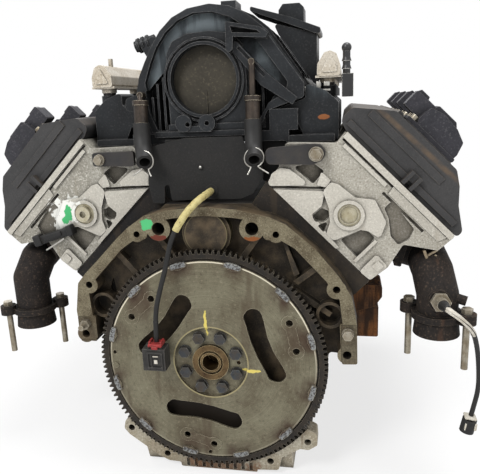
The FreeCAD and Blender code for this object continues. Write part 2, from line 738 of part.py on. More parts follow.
def plenum_fittings():
    """Lifting tab, ledge, two ears under the end disc and the stay across its right shoulder."""
    y0 = intake_rear
    tab = box(26, 46, y0 + 2, y0 + 40, 470, 486)
    ledge = box(-76, 52, y0 - 4, y0 + 8, 313, 320.5)
    ears = [disc(11.5, y0 - 10, y0 + 8, -32, 331.5), disc(11.5, y0 - 9, y0 + 8, 1, 331)]
    ears.append(prism([(-40, 320), (6, 319.5), (6, 327), (-40, 328)], y0 - 8, y0 + 8))
    plate = prism([(34, 459), (78, 450), (89, 442), (86, 436), (43, 440), (42, 424), (36, 420),
                   (33, 424)], y0 - 14, y0 + 6)
    window_cut = prism([(40, 453), (74, 446), (80, 442), (42, 445)], y0 - 15, y0 - 4)
    stay = prism([(36, 428), (45, 435), (84, 394), (124, 360), (118, 351), (76, 378)],
                 y0 - 5, y0 + 8, 2)
    groove = prism([(46, 426), (49, 429), (84, 391), (80, 388)], y0 - 6, y0 - 2)
    return [tab, ledge, cut(plate, [window_cut]), cut(stay, [groove])] + ears


def plenum_bands():
    """Stiffening ribs across the outside of the plenum."""
    bands = []
    for k in range(7):
        y = intake_rear + 58 + 56 * k
        bands.append(prism([(-100, 376), (-96, 400), (-76, 438), (-44, 474), (-20, 484), (10, 488),
                            (38, 484), (60, 474), (81, 457), (128, 390), (110, 372), (-70, 370)],
                           y, y + 9, 8))
    return bands


def plenum_end_disc():
    x, z = dome_middle
    plate = disc(45.9, intake_rear + 16, intake_rear + 23, x, z)
    line = box(x - 1.2, x + 1.2, intake_rear + 15, intake_rear + 17, z - 44, z - 14)
    return fuse([plate, line])


def intake_runner(y):
    """One runner with its port tower, flange foot and injector seat."""
    arm = prism([(134, 303), (178, 303), (178, 352), (160, 368), (134, 378), (134, 358),
                 (84, 343), (70, 318), (96, 318), (122, 330)], y - 26, y + 26, 5)
    foot = prism([(112, 302), (173, 302), (173, 311), (112, 311)], y - 40, y + 40, 2)
    seat = rod((163, y, 360), (163, y, 374), 12)
    body = cut(fuse([arm, foot, seat]), [rod((163, y, 352), (163, y, 380), 7.6)])
    return body


def intake_manifold():
    """Lower moulding: runners, flange rails and the fitting pads under the end disc."""
    parts = []
    for y in bore_positions(1):
        runner = intake_runner(y)
        parts.append(runner)
        parts.append(mirror(runner, bank_stagger))
    right_rail = box(108, 173, intake_rear, 478, 302, 308)
    floor = box(-110, 112, intake_rear, intake_front, 304, 318)
    parts += [right_rail, mirror(right_rail, bank_stagger), floor]
    parts.append(box(86, 124, intake_rear, intake_rear + 14, 318, 346))
    taken = [prism(dome, intake_rear - 1, intake_front + 1, 6)]
    body = cut(fuse(parts), taken + plenum_bands() + plenum_ribs() + plenum_fittings())
    return max(body.Solids, key=lambda solid: solid.Volume)


def map_sensor():
    """Pressure sensor with its ribbed plug, on the left shoulder of the plenum."""
    body = rod((-110, 102, 440), (-80, 102, 448), 8)
    rings = [rod((x, 102, 440 + (x + 110) * 0.267), (x + 3, 102, 440.8 + (x + 110) * 0.267), 10.5)
             for x in (-106, -99, -92)]
    stalk = prism([(-100, 438), (-88, 418), (-60, 424), (-52, 446), (-84, 452)], 94, 110, 2)
    sensor = cut(fuse([body, stalk] + rings), [prism(dome, intake_rear, intake_front, 6)])
    return max(sensor.Solids, key=lambda solid: solid.Volume)


def purge_canister():
    """Breather box on the right rear shoulder of the plenum, with its tilted lid and solenoid."""
    body = prism([(104, 433), (146.5, 372), (147, 446), (86, 463), (93, 447)], 132, 196, 3)
    lid = prism([(54, 487), (54, 481), (148, 445), (152, 447), (152, 453), (112, 469)], 126, 202, 2)
    top = prism([(92, 466), (128, 452), (128, 484), (122, 490), (98, 490), (92, 482)], 146, 184, 2)
    return fuse([body, lid, top])


rail_x = 163.0
rail_rear = 75.0


def fuel_rail():
    """Right rail: a flat-bottomed tube with a cup over each injector."""
    x = rail_x
    tube = prism([(x - 14, 386), (x + 17, 386), (x + 17, 400), (x + 12, 414), (x + 4, 418),
                  (x - 4, 416), (x - 13, 402)], rail_rear, rail_rear + 385, 4)
    face = prism([(x - 9, 391), (x + 12, 391), (x + 12, 400), (x + 3, 412)], rail_rear - 2,
                 rail_rear + 5, 2)
    lip = box(x - 16, x + 19, rail_rear + 2, rail_rear + 380, 384, 387)
    cups = [rod((x, y, 378), (x, y, 388), 11) for y in bore_positions(1)]
    return fuse([tube, face, lip] + cups)


def fuel_rails():
    """Both rails, the pipe that joins them under the throttle and the fuel inlet."""
    right = fuel_rail()
    left = fuse([mirror(right, bank_stagger), rod((-rail_x, 130, 412), (-rail_x, 130, 428), 3.5)])
    crossover = pipe([(rail_x, 460, 400), (rail_x, 496, 400), (146, 516, 354), (100, 522, 330),
                      (-100, 522, 330), (-146, 528, 354), (-rail_x, 512, 400),
                      (-rail_x, 480, 400)], 4.5)[0]
    stem = rod((188, 84, 386), (188, 84, 420), 5)
    ball = Part.makeSphere(6.5, vec(188, 84, 421))
    barbs = [cone((188, 84, z), (188, 84, z + 5), 6.5, 5) for z in (394, 404)]
    base = box(182, 197, 74, 92, 358, 388)
    inlet = fuse([stem, ball, base] + barbs)
    return group([right, left, crossover, inlet])


def fuel_injector(y):
    body = rod((rail_x, y, 353), (rail_x, y, 378), 7.4)
    collar = rod((rail_x, y, 374.2), (rail_x, y, 378), 9.5)
    return fuse([body, collar])


def fuel_injectors():
    injectors = []
    for y in bore_positions(1):
        injector = fuel_injector(y)
        injectors.append(injector)
        injectors.append(mirror(injector, bank_stagger))
    return group(injectors)


def throttle_body():
    y0 = intake_front
    body = fuse([disc(54, y0, y0 + 66, 5, 400), box(-55, 65, y0, y0 + 12, 340, 460),
                 box(58, 92, y0 + 14, y0 + 60, 372, 430), disc(50, y0 + 60, y0 + 82, 5, 400)])
    tools = [disc(43, y0 - 1, y0 + 90, 5, 400), rod((-60, y0 + 36, 400), (80, y0 + 36, 400), 4.05)]
    return cut(body, tools)


def throttle_plate():
    y = intake_front + 36
    shaft = rod((-48, y, 400), (74, y, 400), 4)
    plate = disc(42.6, y - 1, y + 1, 5, 400)
    return fuse([shaft, plate])


# ---------------------------------------------------------------- rear valley fittings

def rear_valley_shield():
    plate = prism([(-78, 302), (-30, 312), (50, 312), (54, 298), (74, 290), (77, 256), (62, 234),
                   (44, 227), (-10, 227), (-55, 225), (-57, 247), (-64, 247), (-66, 221),
                   (-83, 222), (-88, 250), (-84, 288)], 47, 51, 3)
    bolt = disc(3, 44.5, 48, -10, 272)
    foot = box(-60, 50, 51, 56, 300, 310)
    grommet = disc(8.5, 45, 51, 4, 239)
    return fuse([plate, foot, grommet, bolt])


hose_tops = {1: 66.0, -1: -90.0}
hose_mouths = {1: 70.0, -1: -80.0}
hose_top = 334.0
clamp_hole = 11.6


def hose_path(side):
    top = hose_tops[side]
    mouth = hose_mouths[side]
    return [(top, 44, hose_top), (top, 42, 314), (0.6 * top + 0.4 * mouth, 34, 294), (mouth, 18, 283)]


def heater_hose(side):
    outer = pipe(hose_path(side), 11.5)[0]
    inner = pipe(hose_path(side), 7.5)[0]
    return cut(outer, [inner])


def heater_hoses():
    return group([heater_hose(1), heater_hose(-1)])


def heater_tubes():
    """Crimped ferrules on the hose ends and the thin pipes that leave them."""
    tubes = []
    for side, high, wall in ((1, 408, 55), (-1, 372, 60)):
        x = hose_tops[side]
        ferrule = rod((x, 44, hose_top), (x, 46.8, hose_top + 28), 9.5)
        collar = rod((x, 46.4, hose_top + 24), (x, 47, hose_top + 30), 11)
        tube = rod((x, 46.8, hose_top + 27), (x, 50, high), 4)
        elbow = rod((x, 46, high), (x, wall, high), 4)
        tubes.append(fuse([ferrule, collar, tube, elbow]))
    return group(tubes)


def hose_clamps():
    clamps = []
    for side in (1, -1):
        before = vec(*hose_path(side)[2])
        mouth = vec(*hose_path(side)[3])
        near = mouth + (before - mouth) * 0.12
        far = mouth + (before - mouth) * 0.34
        band = ring(tuple(far), tuple(near), 13.2, clamp_hole)
        x = near.x
        tails = [rod((x + 8, near.y, near.z - 9), (x + 20, near.y - 5, near.z - 22), 1.3),
                 rod((x + 2, near.y, near.z - 12), (x - 5, near.y - 4, near.z - 23), 1.3)]
        clamps.append(fuse([band] + tails))
    return group(clamps)


def pipe_bracket_arms():
    right = cut(prism([(84, 276), (145, 274), (158, 280), (163, 290), (156, 300), (145, 301),
                       (84, 297)], 26, 34, 7), [disc(6, 20, 40, 150, 288)])
    left = cut(prism([(-168, 276), (-106, 275), (-106, 296), (-168, 295)], 44, 52, 4),
               [disc(5, 40, 56, -157, 285)])
    return group([fuse([right, disc(10, 34, 38, 150, 288)]).cut(disc(6, 20, 40, 150, 288)),
                  fuse([left, disc(9, 52, 58, -157, 285)]).cut(disc(5, 40, 60, -157, 285))])


def bracket_bolts():
    right = fuse([disc(9.5, 22, 26, 150, 288), hexagon(13, (150, 22, 288), (150, 15, 288)),
                  disc(5.9, 26, 37, 150, 288)])
    left = fuse([disc(8, 41, 44, -157, 285), hexagon(11, (-157, 41, 285), (-157, 35, 285)),
                 disc(4.9, 44, 56, -157, 285)])
    stud = fuse([hexagon(13, (191, 9, 48), (191, -1, 48)), disc(8, 6, 9, 191, 48)])
    left_stud = fuse([hexagon(13, (-187, 9, 50), (-187, 1, 50)),
                      rod((-187, 2, 50), (-187, -11, 50), 4)])
    return [right, left, stud, left_stud]


# ---------------------------------------------------------------- exhaust

log_x = 298.0
log_z = 138.0


outlet_x = 308.0
stud_offsets = ((-34.0, 21.0), (34.0, -21.0))
outlets = {1: (34.0, 44.0), -1: (54.0, 21.0)}
sensor_seat = (306.0, 0.0, 100.0)


def along_sensor(distance):
    x, y, z = sensor_seat
    return (x, y + distance, z - distance / 6)


def exhaust_manifold(side):
    """Log with four runners, head flanges, a turned-down elbow and its two-bolt outlet."""
    outlet_y, mouth = outlets[side]
    collar = mouth + 22
    path = [(log_x, 468, log_z), (log_x, outlet_y + 50, log_z), (log_x + 5, outlet_y + 20, 125),
            (outlet_x, outlet_y, 98), (outlet_x, outlet_y, mouth + 10)]
    passage = [(log_x, 463, log_z)] + path[1:-1] + [(outlet_x, outlet_y, mouth - 1)]
    pieces = [elbowed(path, 27)]
    for y in bore_positions(1):
        pieces.append(cone((254, y, 152), (290, y, 140), 25, 24))
        pieces.append(prism([(252, 130), (262, 128), (274, 172), (263, 172)], y - 38, y + 38, 2))
    pieces.append(cone((outlet_x, outlet_y, collar), (outlet_x, outlet_y, mouth), 28, 30.4))
    pieces.append(rod((outlet_x, outlet_y, collar), (outlet_x, outlet_y, collar + 9), 33))
    tools = [elbowed(passage, 21)]
    for dx, dy in stud_offsets:
        x, y = outlet_x + dx, outlet_y + dy
        pieces.append(rod((x, y, collar), (x, y, collar + 14), 12))
        tools.append(rod((x, y, mouth - 4), (x, y, collar + 20), 4.6))
    if side > 0:
        pieces.append(rod(sensor_seat, along_sensor(24), 14))
        pieces.append(rod((342, 20, 94), (316, 28, 100), 6.5))
        tools.append(rod(along_sensor(-5), along_sensor(32), 9))
    tools.append(prism(bank(head_outline), 20, 520, 4))
    body = cut(fuse(pieces), tools)
    body = max(body.Solids, key=lambda solid: solid.Volume)
    return body if side > 0 else mirror(body, bank_stagger)


def exhaust_studs():
    studs = []
    for side in (1, -1):
        outlet_y, mouth = outlets[side]
        for dx, dy in stud_offsets:
            x, y = outlet_x + dx, outlet_y + dy
            stud = fuse([rod((x, y, mouth - 42), (x, y, mouth + 21), 4.5),
                         rod((x, y, mouth + 20), (x, y, mouth + 40), 4.3),
                         hexagon(13, (x, y, mouth + 36), (x, y, mouth + 43))])
            studs.append(stud if side > 0 else mirror(stud, bank_stagger))
    return group(studs)


def oxygen_sensors():
    body = fuse([hexagon(22, sensor_seat, along_sensor(-9)), rod(sensor_seat, along_sensor(14), 8.95),
                 rod(along_sensor(-9), along_sensor(-26), 7.5)])
    return group([body])


# ---------------------------------------------------------------- lower end

def oil_pan():
    profile = [(12, -61), (12, -150), (22, sump_bottom), (392, sump_bottom), (426, -110),
               (crankcase_front, -110), (crankcase_front, -61)]
    inside = [(40, -40), (40, -172), (388, -172), (421, -104), (503, -104), (503, -40)]
    body = side_prism(profile, -112, 112, 6)
    hollow = side_prism(inside, -105, 105, 6)
    rail = box(-124, 124, 12, crankcase_front, -71, -61)
    rear = prism([(-118, -61), (-124, -100), (-141, -106), (-144, -120), (-136, -130), (-92, -162),
                  (-76, -170), (-57, -171), (-57, -178), (60, -178), (60, -174), (92, -172),
                  (97, -150), (124, -134), (136, -135), (149, -126), (148, -108), (130, -98),
                  (118, -61)], flange_face, 34, 5)
    ribs = []
    for k in range(4):
        ribs.append(box(-118, 118, 92 + 90 * k, 98 + 90 * k, -150, -66))
    body = fuse([body, rail, rear] + ribs)
    tools = [hollow, disc(168, 0, 17)]
    for x in range(-48, 56, 12):
        tools.append(box(x, x + 5, flange_face - 1, flange_face + 3, -176, -163))
    for x, z in ((-132, -118), (-78, -158), (80, -158), (135, -122)):
        tools.append(disc(5, 0, 40, x, z))
    tools.append(rod((-60, 300, -190), (-60, 300, -165), 8))
    return cut(body, tools)


def oil_pan_gasket():
    return cut(box(-124, 124, crankcase_rear, crankcase_front, -61, crankcase_bottom),
               [box(-92, 92, crankcase_rear + 22, crankcase_front - 20, -62, -50)])


def oil_pan_bolts():
    bolts = []
    for side in (1, -1):
        for k in range(6):
            y = 50 + 90 * k
            bolts.append(rod((118 * side, y, -78), (118 * side, y, -71), 5.5))
    bolts.append(fuse([rod((-60, 300, -172), (-60, 300, -166), 7.9)]))
    return group(bolts)


def oil_filter():
    can = rod((-60, 470, -113), (-60, 470, -170), 38)
    neck = rod((-60, 470, -110), (-60, 470, -114), 30)
    return fuse([can, neck])


def engine_mount_brackets():
    arm = prism([(176, 30), (200, 30), (232, 40), (243, 56), (243, 74), (206, 76), (192, 70)],
                134, 190, 5)
    pad = prism([(202, -12), (238, -12), (238, 40), (202, 40)], 138, 186, 3)
    body = cut(fuse([arm, pad]), [rod((220, 162, -20), (220, 162, 20), 6)])
    block_wall = engine_wall()
    right = cut(body, [block_wall])
    right = max(right.Solids, key=lambda solid: solid.Volume)
    return group([right, mirror(right)])


def engine_wall():
    return prism([(0, -58), (100, -58), (128, 8), (152, 30), (190, 68), (176, 84), (219.2, 113.1),
                  (100, 200), (0, 200)], 120, 200)


# ---------------------------------------------------------------- front end

def timing_cover():
    inner = [(-50, -48), (50, -48), (72, -16), (54, 60), (74, 140), (77, 202), (55, 251),
             (-55, 251), (-77, 202), (-74, 140), (-54, 60), (-72, -16)]
    y0 = crankcase_front
    shell = cut(prism(cover_edge, y0, y0 + 44, 10), [prism(inner, y0 - 1, y0 + 36, 8)])
    seal = disc(48, y0 + 40, y0 + 54)
    return cut(fuse([shell, seal]), [disc(22.6, y0 + 30, y0 + 60)])


pump_x = 0.0
pump_z = 186.0


def spigot(start, end, radius):
    """Coolant neck: a thicker root and a plain end for the hose."""
    along = (vec(*end) - vec(*start)).normalize()
    shoulder = vec(*end) - along * 30
    return fuse([rod(start, end, radius), rod(start, tuple(shoulder), radius + 2)])


def water_pump_housing():
    y0 = 555.0
    volute = disc(62, y0 + 0.5, y0 + 36, pump_x, pump_z)
    legs = []
    for side in (1, -1):
        legs.append(prism([(50 * side, 214), (40 * side, 150), (130 * side, 150), (152 * side, 190),
                           (128 * side, 214)], y0 + 0.5, y0 + 34, 8))
        legs.append(prism([(102 * side, 142), (150 * side, 150), (152 * side, 200),
                           (106 * side, 208)], crankcase_front, y0 + 20, 8))
    nose = disc(20, y0 + 34, y0 + 52, pump_x, pump_z)
    inlet = spigot((96, y0 + 18, 196), (150, y0 + 36, 262), 21)
    outlet = spigot((-90, y0 + 18, 196), (-128, y0 + 36, 262), 19)
    body = fuse([volute, nose, inlet, outlet] + legs)
    tools = [disc(8.05, y0 + 20, y0 + 60, pump_x, pump_z),
             box(-100, 100, y0 - 15, y0 + 0.5, 180, 230),
             rod((114, y0 + 24, 218), (156, y0 + 38, 269.3), 17),
             rod((-102.4, y0 + 24, 218), (-132, y0 + 38, 269.3), 15)]
    return cut(body, tools)


def water_pump_pulley():
    y0 = 610.0
    rim = cut(disc(72, y0, y0 + 36, pump_x, pump_z), [disc(64, y0 + 6, y0 + 40, pump_x, pump_z)])
    hub = disc(24, y0, y0 + 18, pump_x, pump_z)
    shaft = disc(8, 582, y0 + 2, pump_x, pump_z)
    grooves = []
    for k in range(6):
        y = y0 + 5 + 4.6 * k
        grooves.append(cut(disc(73, y, y + 2.4, pump_x, pump_z),
                           [disc(69, y - 1, y + 4, pump_x, pump_z)]))
    for k in range(4):
        x, z = polar(44, 45 + 90 * k)
        grooves.append(disc(9, y0 - 1, y0 + 10, pump_x + x, pump_z + z))
    return cut(fuse([rim, hub, shaft]), grooves)


dipstick_seat = 285.0
dipstick_route = [(109.5, 486, -20), (138, 486, -20), (176, 508, 28), (212, 526, 100),
                  (222, 526, 170), (222, 526, dipstick_seat)]


def dipstick_tube():
    outer = pipe(dipstick_route, 5, 60)[0]
    inner = rod((222, 526, 175), (222, 526, dipstick_seat + 1), 3.4)
    mouth = rod((222, 526, dipstick_seat - 12), (222, 526, dipstick_seat), 7)
    stay = prism([(196, 250), (222, 250), (222, 262), (196, 262)], 498, 524, 2)
    return cut(fuse([outer, mouth]), [inner])


def dipstick():
    seat = dipstick_seat
    blade = rod((222, 526, 180), (222, 526, seat + 1), 2.6)
    cap = rod((222, 526, seat + 0.4), (222, 526, seat + 10), 6)
    loop = ring((222, 523, seat + 22), (222, 529, seat + 22), 15, 10)
    return fuse([blade, cap, loop])


# ---------------------------------------------------------------- leads

harness_route = [(4, 45, 239), (4, 20, 239), (-6, -4, 232), (-22, -15, 214), (-40, -18, 184),
                 (-48, -20, 148), (-60, -21, 112), (-70, -20, 76), (-70, -20, 38)]
sensor_route = [(306, -26, 104.333), (306, -46, 107.667), (322, -51, 98), (338, -43, 80),
                (347, -30, 52), (352, -22, 22), (354, -19, -8), (350, -19, -32), (346, -19, -52)]


def cord(name, points, radius):
    tube, wire, radii = pipe(points, radius)
    section = math.pi * radius * radius * wire.Length
    print(name, "length", round(wire.Length, 1), "radii", radii, "volume ratio",
          round(tube.Volume / section, 4))
    return tube


def harness_connector():
    body = box(-88, -56, -32, -9, 0, 32)
    throat = box(-81, -61, -29, -12, 32, 38)
    return fuse([body, throat])


def sensor_lead_end():
    return rod((346, -19, -52), (342.4, -19, -70), 9)


def save(name, shape):
    if not shape.isValid():
        print("not valid:", name)
    for solid in shape.Solids:
        if not solid.isClosed():
            print("open solid in", name)
    shape.exportStep(os.path.join("parts", name + ".step"))
    return shape


def build():
    right_head = cylinder_head()
    gasket = head_gasket()
    nodes = {
        "engine_block": engine_block(),
        "main_bearing_caps": main_bearing_caps(),
        "cam_core_plug": cam_core_plug(),
        "crankshaft": crankshaft(),
        "crank_sprocket": sprocket(crank_teeth, chain_plane - 3, chain_plane + 3, 22),
        "flexplate": flexplate(),
        "ring_gear": ring_gear(),
        "flexplate_bolts": flexplate_bolts(),
        "crank_damper": group([crank_damper(), crank_bolt()]),
        "camshaft": camshaft(),
        "cam_sprocket": sprocket(cam_teeth, chain_plane - 3, chain_plane + 3, 18, 0, cam_height),
        "timing_chain": timing_chain(),
        "right_cylinder_head": right_head,
        "left_cylinder_head": mirror(right_head, bank_stagger),
        "gaskets": group([gasket, mirror(gasket, bank_stagger), oil_pan_gasket()]),
        "head_plugs": head_plugs(),
        "right_valve_cover": valve_cover(1),
        "left_valve_cover": valve_cover(-1),
        "oil_filler_cap": oil_filler_cap(),
        "ignition_coils": ignition_coils(),
        "cover_and_bracket_bolts": group(cover_bolts() + bracket_bolts()),
        "intake_manifold": intake_manifold(),
        "intake_plenum": intake_plenum(),
        "plenum_end_disc": plenum_end_disc(),
        "map_sensor": map_sensor(),
        "purge_canister": purge_canister(),
        "fuel_rails": fuel_rails(),
        "fuel_injectors": fuel_injectors(),
        "throttle_body": throttle_body(),
        "throttle_plate": throttle_plate(),
        "rear_valley_shield": rear_valley_shield(),
        "heater_hoses": heater_hoses(),
        "heater_tubes": heater_tubes(),
        "hose_clamps": hose_clamps(),
        "pipe_bracket_arms": pipe_bracket_arms(),
        "right_exhaust_manifold": exhaust_manifold(1),
        "left_exhaust_manifold": exhaust_manifold(-1),
        "exhaust_studs": exhaust_studs(),
        "oxygen_sensors": oxygen_sensors(),
        "oil_pan": oil_pan(),
        "oil_pan_bolts": oil_pan_bolts(),
        "oil_filter": oil_filter(),
        "engine_mount_brackets": engine_mount_brackets(),
        "timing_cover": timing_cover(),
        "water_pump_housing": water_pump_housing(),
        "water_pump_pulley": water_pump_pulley(),
        "dipstick_tube": dipstick_tube(),
        "dipstick": dipstick(),
        "harness_lead": cord("harness lead", harness_route, 4.5),
        "harness_connector": harness_connector(),
        "sensor_lead": cord("sensor lead", sensor_route, 3.5),
        "sensor_lead_end": sensor_lead_end(),
    }
    for side, name in ((1, "right"), (-1, "left")):
        for number, y in enumerate(bore_positions(side), 1):
            nodes["%s_piston_%d" % (name, number)] = piston(side, y)
    return nodes


os.makedirs("parts", exist_ok=True)
for node, solid_shape in build().items():
    save(node, solid_shape)
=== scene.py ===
import bpy
import bmesh
import math
from mathutils import Matrix, Vector


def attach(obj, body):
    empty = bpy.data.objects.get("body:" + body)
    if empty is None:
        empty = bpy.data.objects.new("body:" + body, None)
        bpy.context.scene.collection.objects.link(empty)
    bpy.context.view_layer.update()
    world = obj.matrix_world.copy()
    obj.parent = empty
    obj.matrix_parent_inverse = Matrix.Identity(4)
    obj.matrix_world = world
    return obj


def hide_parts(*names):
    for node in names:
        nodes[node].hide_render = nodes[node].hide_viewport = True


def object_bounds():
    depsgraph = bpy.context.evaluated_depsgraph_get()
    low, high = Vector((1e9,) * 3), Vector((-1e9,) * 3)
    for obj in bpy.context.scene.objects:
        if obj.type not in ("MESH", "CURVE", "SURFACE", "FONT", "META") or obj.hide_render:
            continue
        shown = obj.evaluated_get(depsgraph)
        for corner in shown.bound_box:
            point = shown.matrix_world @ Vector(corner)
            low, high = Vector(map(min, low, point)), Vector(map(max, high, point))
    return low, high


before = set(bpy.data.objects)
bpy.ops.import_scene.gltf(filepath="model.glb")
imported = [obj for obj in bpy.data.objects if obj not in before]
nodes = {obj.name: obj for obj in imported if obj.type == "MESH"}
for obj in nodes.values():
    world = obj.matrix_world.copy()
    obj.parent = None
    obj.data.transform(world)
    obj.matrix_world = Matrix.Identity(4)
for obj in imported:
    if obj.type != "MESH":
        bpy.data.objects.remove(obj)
cadLow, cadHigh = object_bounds()
print("engine frame loaded with", len(nodes), "parts")

mm = 0.001  # one millimetre in metres
origin = (0.0, 0.0, 0.0)


def at(x, y, z):
    # millimetres of the engine frame to metres
    return Vector((x, y, z)) * mm


def shade(red, green, blue):
    # a colour picked on the usual 0 to 255 scale, as linear light
    def linear(value):
        value /= 255
        return value / 12.92 if value <= 0.04045 else ((value + 0.055) / 1.055) ** 2.4
    return (linear(red), linear(green), linear(blue), 1)


def newObject(name, data):
    made = bpy.data.objects.new(name, data)
    bpy.context.scene.collection.objects.link(made)
    return made


# camera: standing behind the engine, a little to the right and above
cameraSettings = {"place": (188.3, -702.4, 359.3), "turn": 11.11, "tilt": 13.77,
                  "roll": -2.48, "lens": 41.81, "sensor": 36, "near": 0.02, "far": 40}


def buildCamera(settings):
    turn, tilt, roll = (math.radians(settings[key]) for key in ("turn", "tilt", "roll"))
    forward = Vector((-math.sin(turn) * math.cos(tilt), math.cos(turn) * math.cos(tilt),
                      -math.sin(tilt)))
    right = Vector((math.cos(turn), math.sin(turn), 0))
    up = right.cross(forward)
    side = right * math.cos(roll) + up * math.sin(roll)
    top = up * math.cos(roll) - right * math.sin(roll)
    data = bpy.data.cameras.new("rearCamera")
    data.lens = settings["lens"]
    data.sensor_width = settings["sensor"]
    data.clip_start = settings["near"]
    data.clip_end = settings["far"]
    camera = newObject("rearCamera", data)
    axes = Matrix((side, top, -forward)).transposed().to_4x4()
    camera.matrix_world = Matrix.Translation(at(*settings["place"])) @ axes
    bpy.context.scene.camera = camera


buildCamera(cameraSettings)
print("camera placed")


# shader helpers

def addNode(tree, kind, **settings):
    node = tree.nodes.new(kind)
    for key, value in settings.items():
        setattr(node, key, value)
    return node


def feed(tree, socket, value):
    # a link when given a socket, else the socket's own value
    if isinstance(value, bpy.types.NodeSocket):
        tree.links.new(value, socket)
    else:
        socket.default_value = value


def maths(tree, operation, first, second=None, clamp=False):
    node = addNode(tree, "ShaderNodeMath", operation=operation, use_clamp=clamp)
    feed(tree, node.inputs[0], first)
    if second is not None:
        feed(tree, node.inputs[1], second)
    return node.outputs[0]


def times(tree, first, second, clamp=False):
    return maths(tree, "MULTIPLY", first, second, clamp)


def vectorMaths(tree, operation, first, second=origin):
    node = addNode(tree, "ShaderNodeVectorMath", operation=operation)
    feed(tree, node.inputs[0], first)
    feed(tree, node.inputs[1], second)
    return node.outputs


def mixColours(tree, amount, first, second):
    # each colour is a socket or a plain 0 to 255 tone
    node = addNode(tree, "ShaderNodeMix", data_type="RGBA")
    feed(tree, node.inputs[0], amount)
    for index, colour in ((6, first), (7, second)):
        feed(tree, node.inputs[index], shade(*colour) if isinstance(colour, tuple) else colour)
    return node.outputs[2]


def mixValues(tree, amount, first, second):
    node = addNode(tree, "ShaderNodeMix", data_type="FLOAT")
    for index, value in ((0, amount), (2, first), (3, second)):
        feed(tree, node.inputs[index], value)
    return node.outputs[0]


def tint(tree, colour, mask, paint, strength=None):
    # paint laid over the colour wherever the mask is up
    if strength is not None:
        mask = times(tree, mask, strength)
    return mixColours(tree, mask, colour, paint)


def ramp(tree, value, low, high, outLow=0.0, outHigh=1.0, smooth=True):
    node = addNode(tree, "ShaderNodeMapRange")
    node.interpolation_type = "SMOOTHSTEP" if smooth else "LINEAR"
    for socket, given in zip(node.inputs, (value, low, high, outLow, outHigh)):
        feed(tree, socket, given)
    return node.outputs[0]


def feedAll(tree, node, **values):
    for label, value in values.items():
        feed(tree, node.inputs[label], value)
    return node.outputs


def addNoise(tree, vector, scale, detail, roughness=0.5):
    return feedAll(tree, addNode(tree, "ShaderNodeTexNoise"), Vector=vector, Scale=scale,
                   Detail=detail, Roughness=roughness)[0]


def splitPlace(tree, where):
    parts = addNode(tree, "ShaderNodeSeparateXYZ")
    feed(tree, parts.inputs[0], where)
    return parts.outputs


def startGroup(name, inputs, outputs=("Mask",)):
    tree = bpy.data.node_groups.new(name, "ShaderNodeTree")
    for label, value in inputs.items():
        kind = "NodeSocketVector" if isinstance(value, tuple) else "NodeSocketFloat"
        socket = tree.interface.new_socket(label, in_out="INPUT", socket_type=kind)
        socket.default_value = value
    for label in outputs:
        tree.interface.new_socket(label, in_out="OUTPUT", socket_type="NodeSocketFloat")
    enter = addNode(tree, "NodeGroupInput")
    leave = addNode(tree, "NodeGroupOutput")
    return tree, enter.outputs, leave.inputs


def useGroup(tree, group, **values):
    return feedAll(tree, addNode(tree, "ShaderNodeGroup", node_tree=group), **values)


# effects shared by the finishes

def makePatchMask():
    # soft-edged blotches; Cover says how much of the surface they take
    tree, given, out = startGroup("patchMask", {
        "Vector": origin, "Scale": 20.0, "Detail": 5.0, "Cover": 0.5, "Softness": 0.12})
    noise = addNoise(tree, given["Vector"], given["Scale"], given["Detail"], 0.62)
    # noise sits between about 0.25 and 0.75
    middle = maths(tree, "SUBTRACT", 1.0, given["Cover"])
    middle = maths(tree, "ADD", times(tree, middle, 0.5), 0.25)
    low = maths(tree, "SUBTRACT", middle, given["Softness"])
    high = maths(tree, "ADD", middle, given["Softness"])
    feed(tree, out["Mask"], ramp(tree, noise, low, high))
    return tree


def brokenUp(tree, given, mask, detail, low, high, least):
    # the mask thinned by noise, then scaled by the group's Strength
    noise = addNoise(tree, given["Vector"], given["Break"], detail)
    mask = times(tree, mask, ramp(tree, noise, low, high, least, 1.0))
    return times(tree, mask, given["Strength"], clamp=True)


def makeEdgeWearAndHighlight():
    # bright on sharp corners, partly edge wear and partly painted highlight, broken up so that it
    # looks rubbed
    tree, given, out = startGroup("edgeWearAndHighlight", {
        "Vector": origin, "Width": 0.0012, "Break": 160.0, "Strength": 1.0})
    bevel = addNode(tree, "ShaderNodeBevel", samples=4)
    feed(tree, bevel.inputs["Radius"], given["Width"])
    surface = addNode(tree, "ShaderNodeNewGeometry")
    dot = vectorMaths(tree, "DOT_PRODUCT", bevel.outputs[0], surface.outputs["Normal"])["Value"]
    edge = ramp(tree, maths(tree, "SUBTRACT", 1.0, dot), 0.02, 0.22)
    feed(tree, out["Mask"], brokenUp(tree, given, edge, 3, 0.3, 0.6, 0.25))
    return tree


def makeCreviceShadeAndDirt():
    # painted shade: darkens corners and the insides of pockets, found by ambient occlusion
    tree, given, out = startGroup("creviceShadeAndDirt", {
        "Vector": origin, "Reach": 0.02, "Strength": 1.0, "Break": 60.0})
    cover = addNode(tree, "ShaderNodeAmbientOcclusion", samples=6)
    feed(tree, cover.inputs["Distance"], given["Reach"])
    hidden = ramp(tree, cover.outputs["AO"], 0.92, 0.25)
    feed(tree, out["Mask"], brokenUp(tree, given, hidden, 4, 0.25, 0.62, 0.35))
    return tree


def makeCastGrain():
    # sand-cast skin: fine grain over shallow lumps, for bump and for tone
    tree, given, out = startGroup(
        "castGrain", {"Vector": origin, "Scale": 900.0, "Lumps": 70.0}, ("Height", "Tone"))
    fine = addNoise(tree, given["Vector"], given["Scale"], 3)
    lumps = addNoise(tree, given["Vector"], given["Lumps"], 4)
    feed(tree, out["Height"], mixValues(tree, 0.45, fine, lumps))
    feed(tree, out["Tone"], ramp(tree, fine, 0.3, 0.7, smooth=False))
    return tree


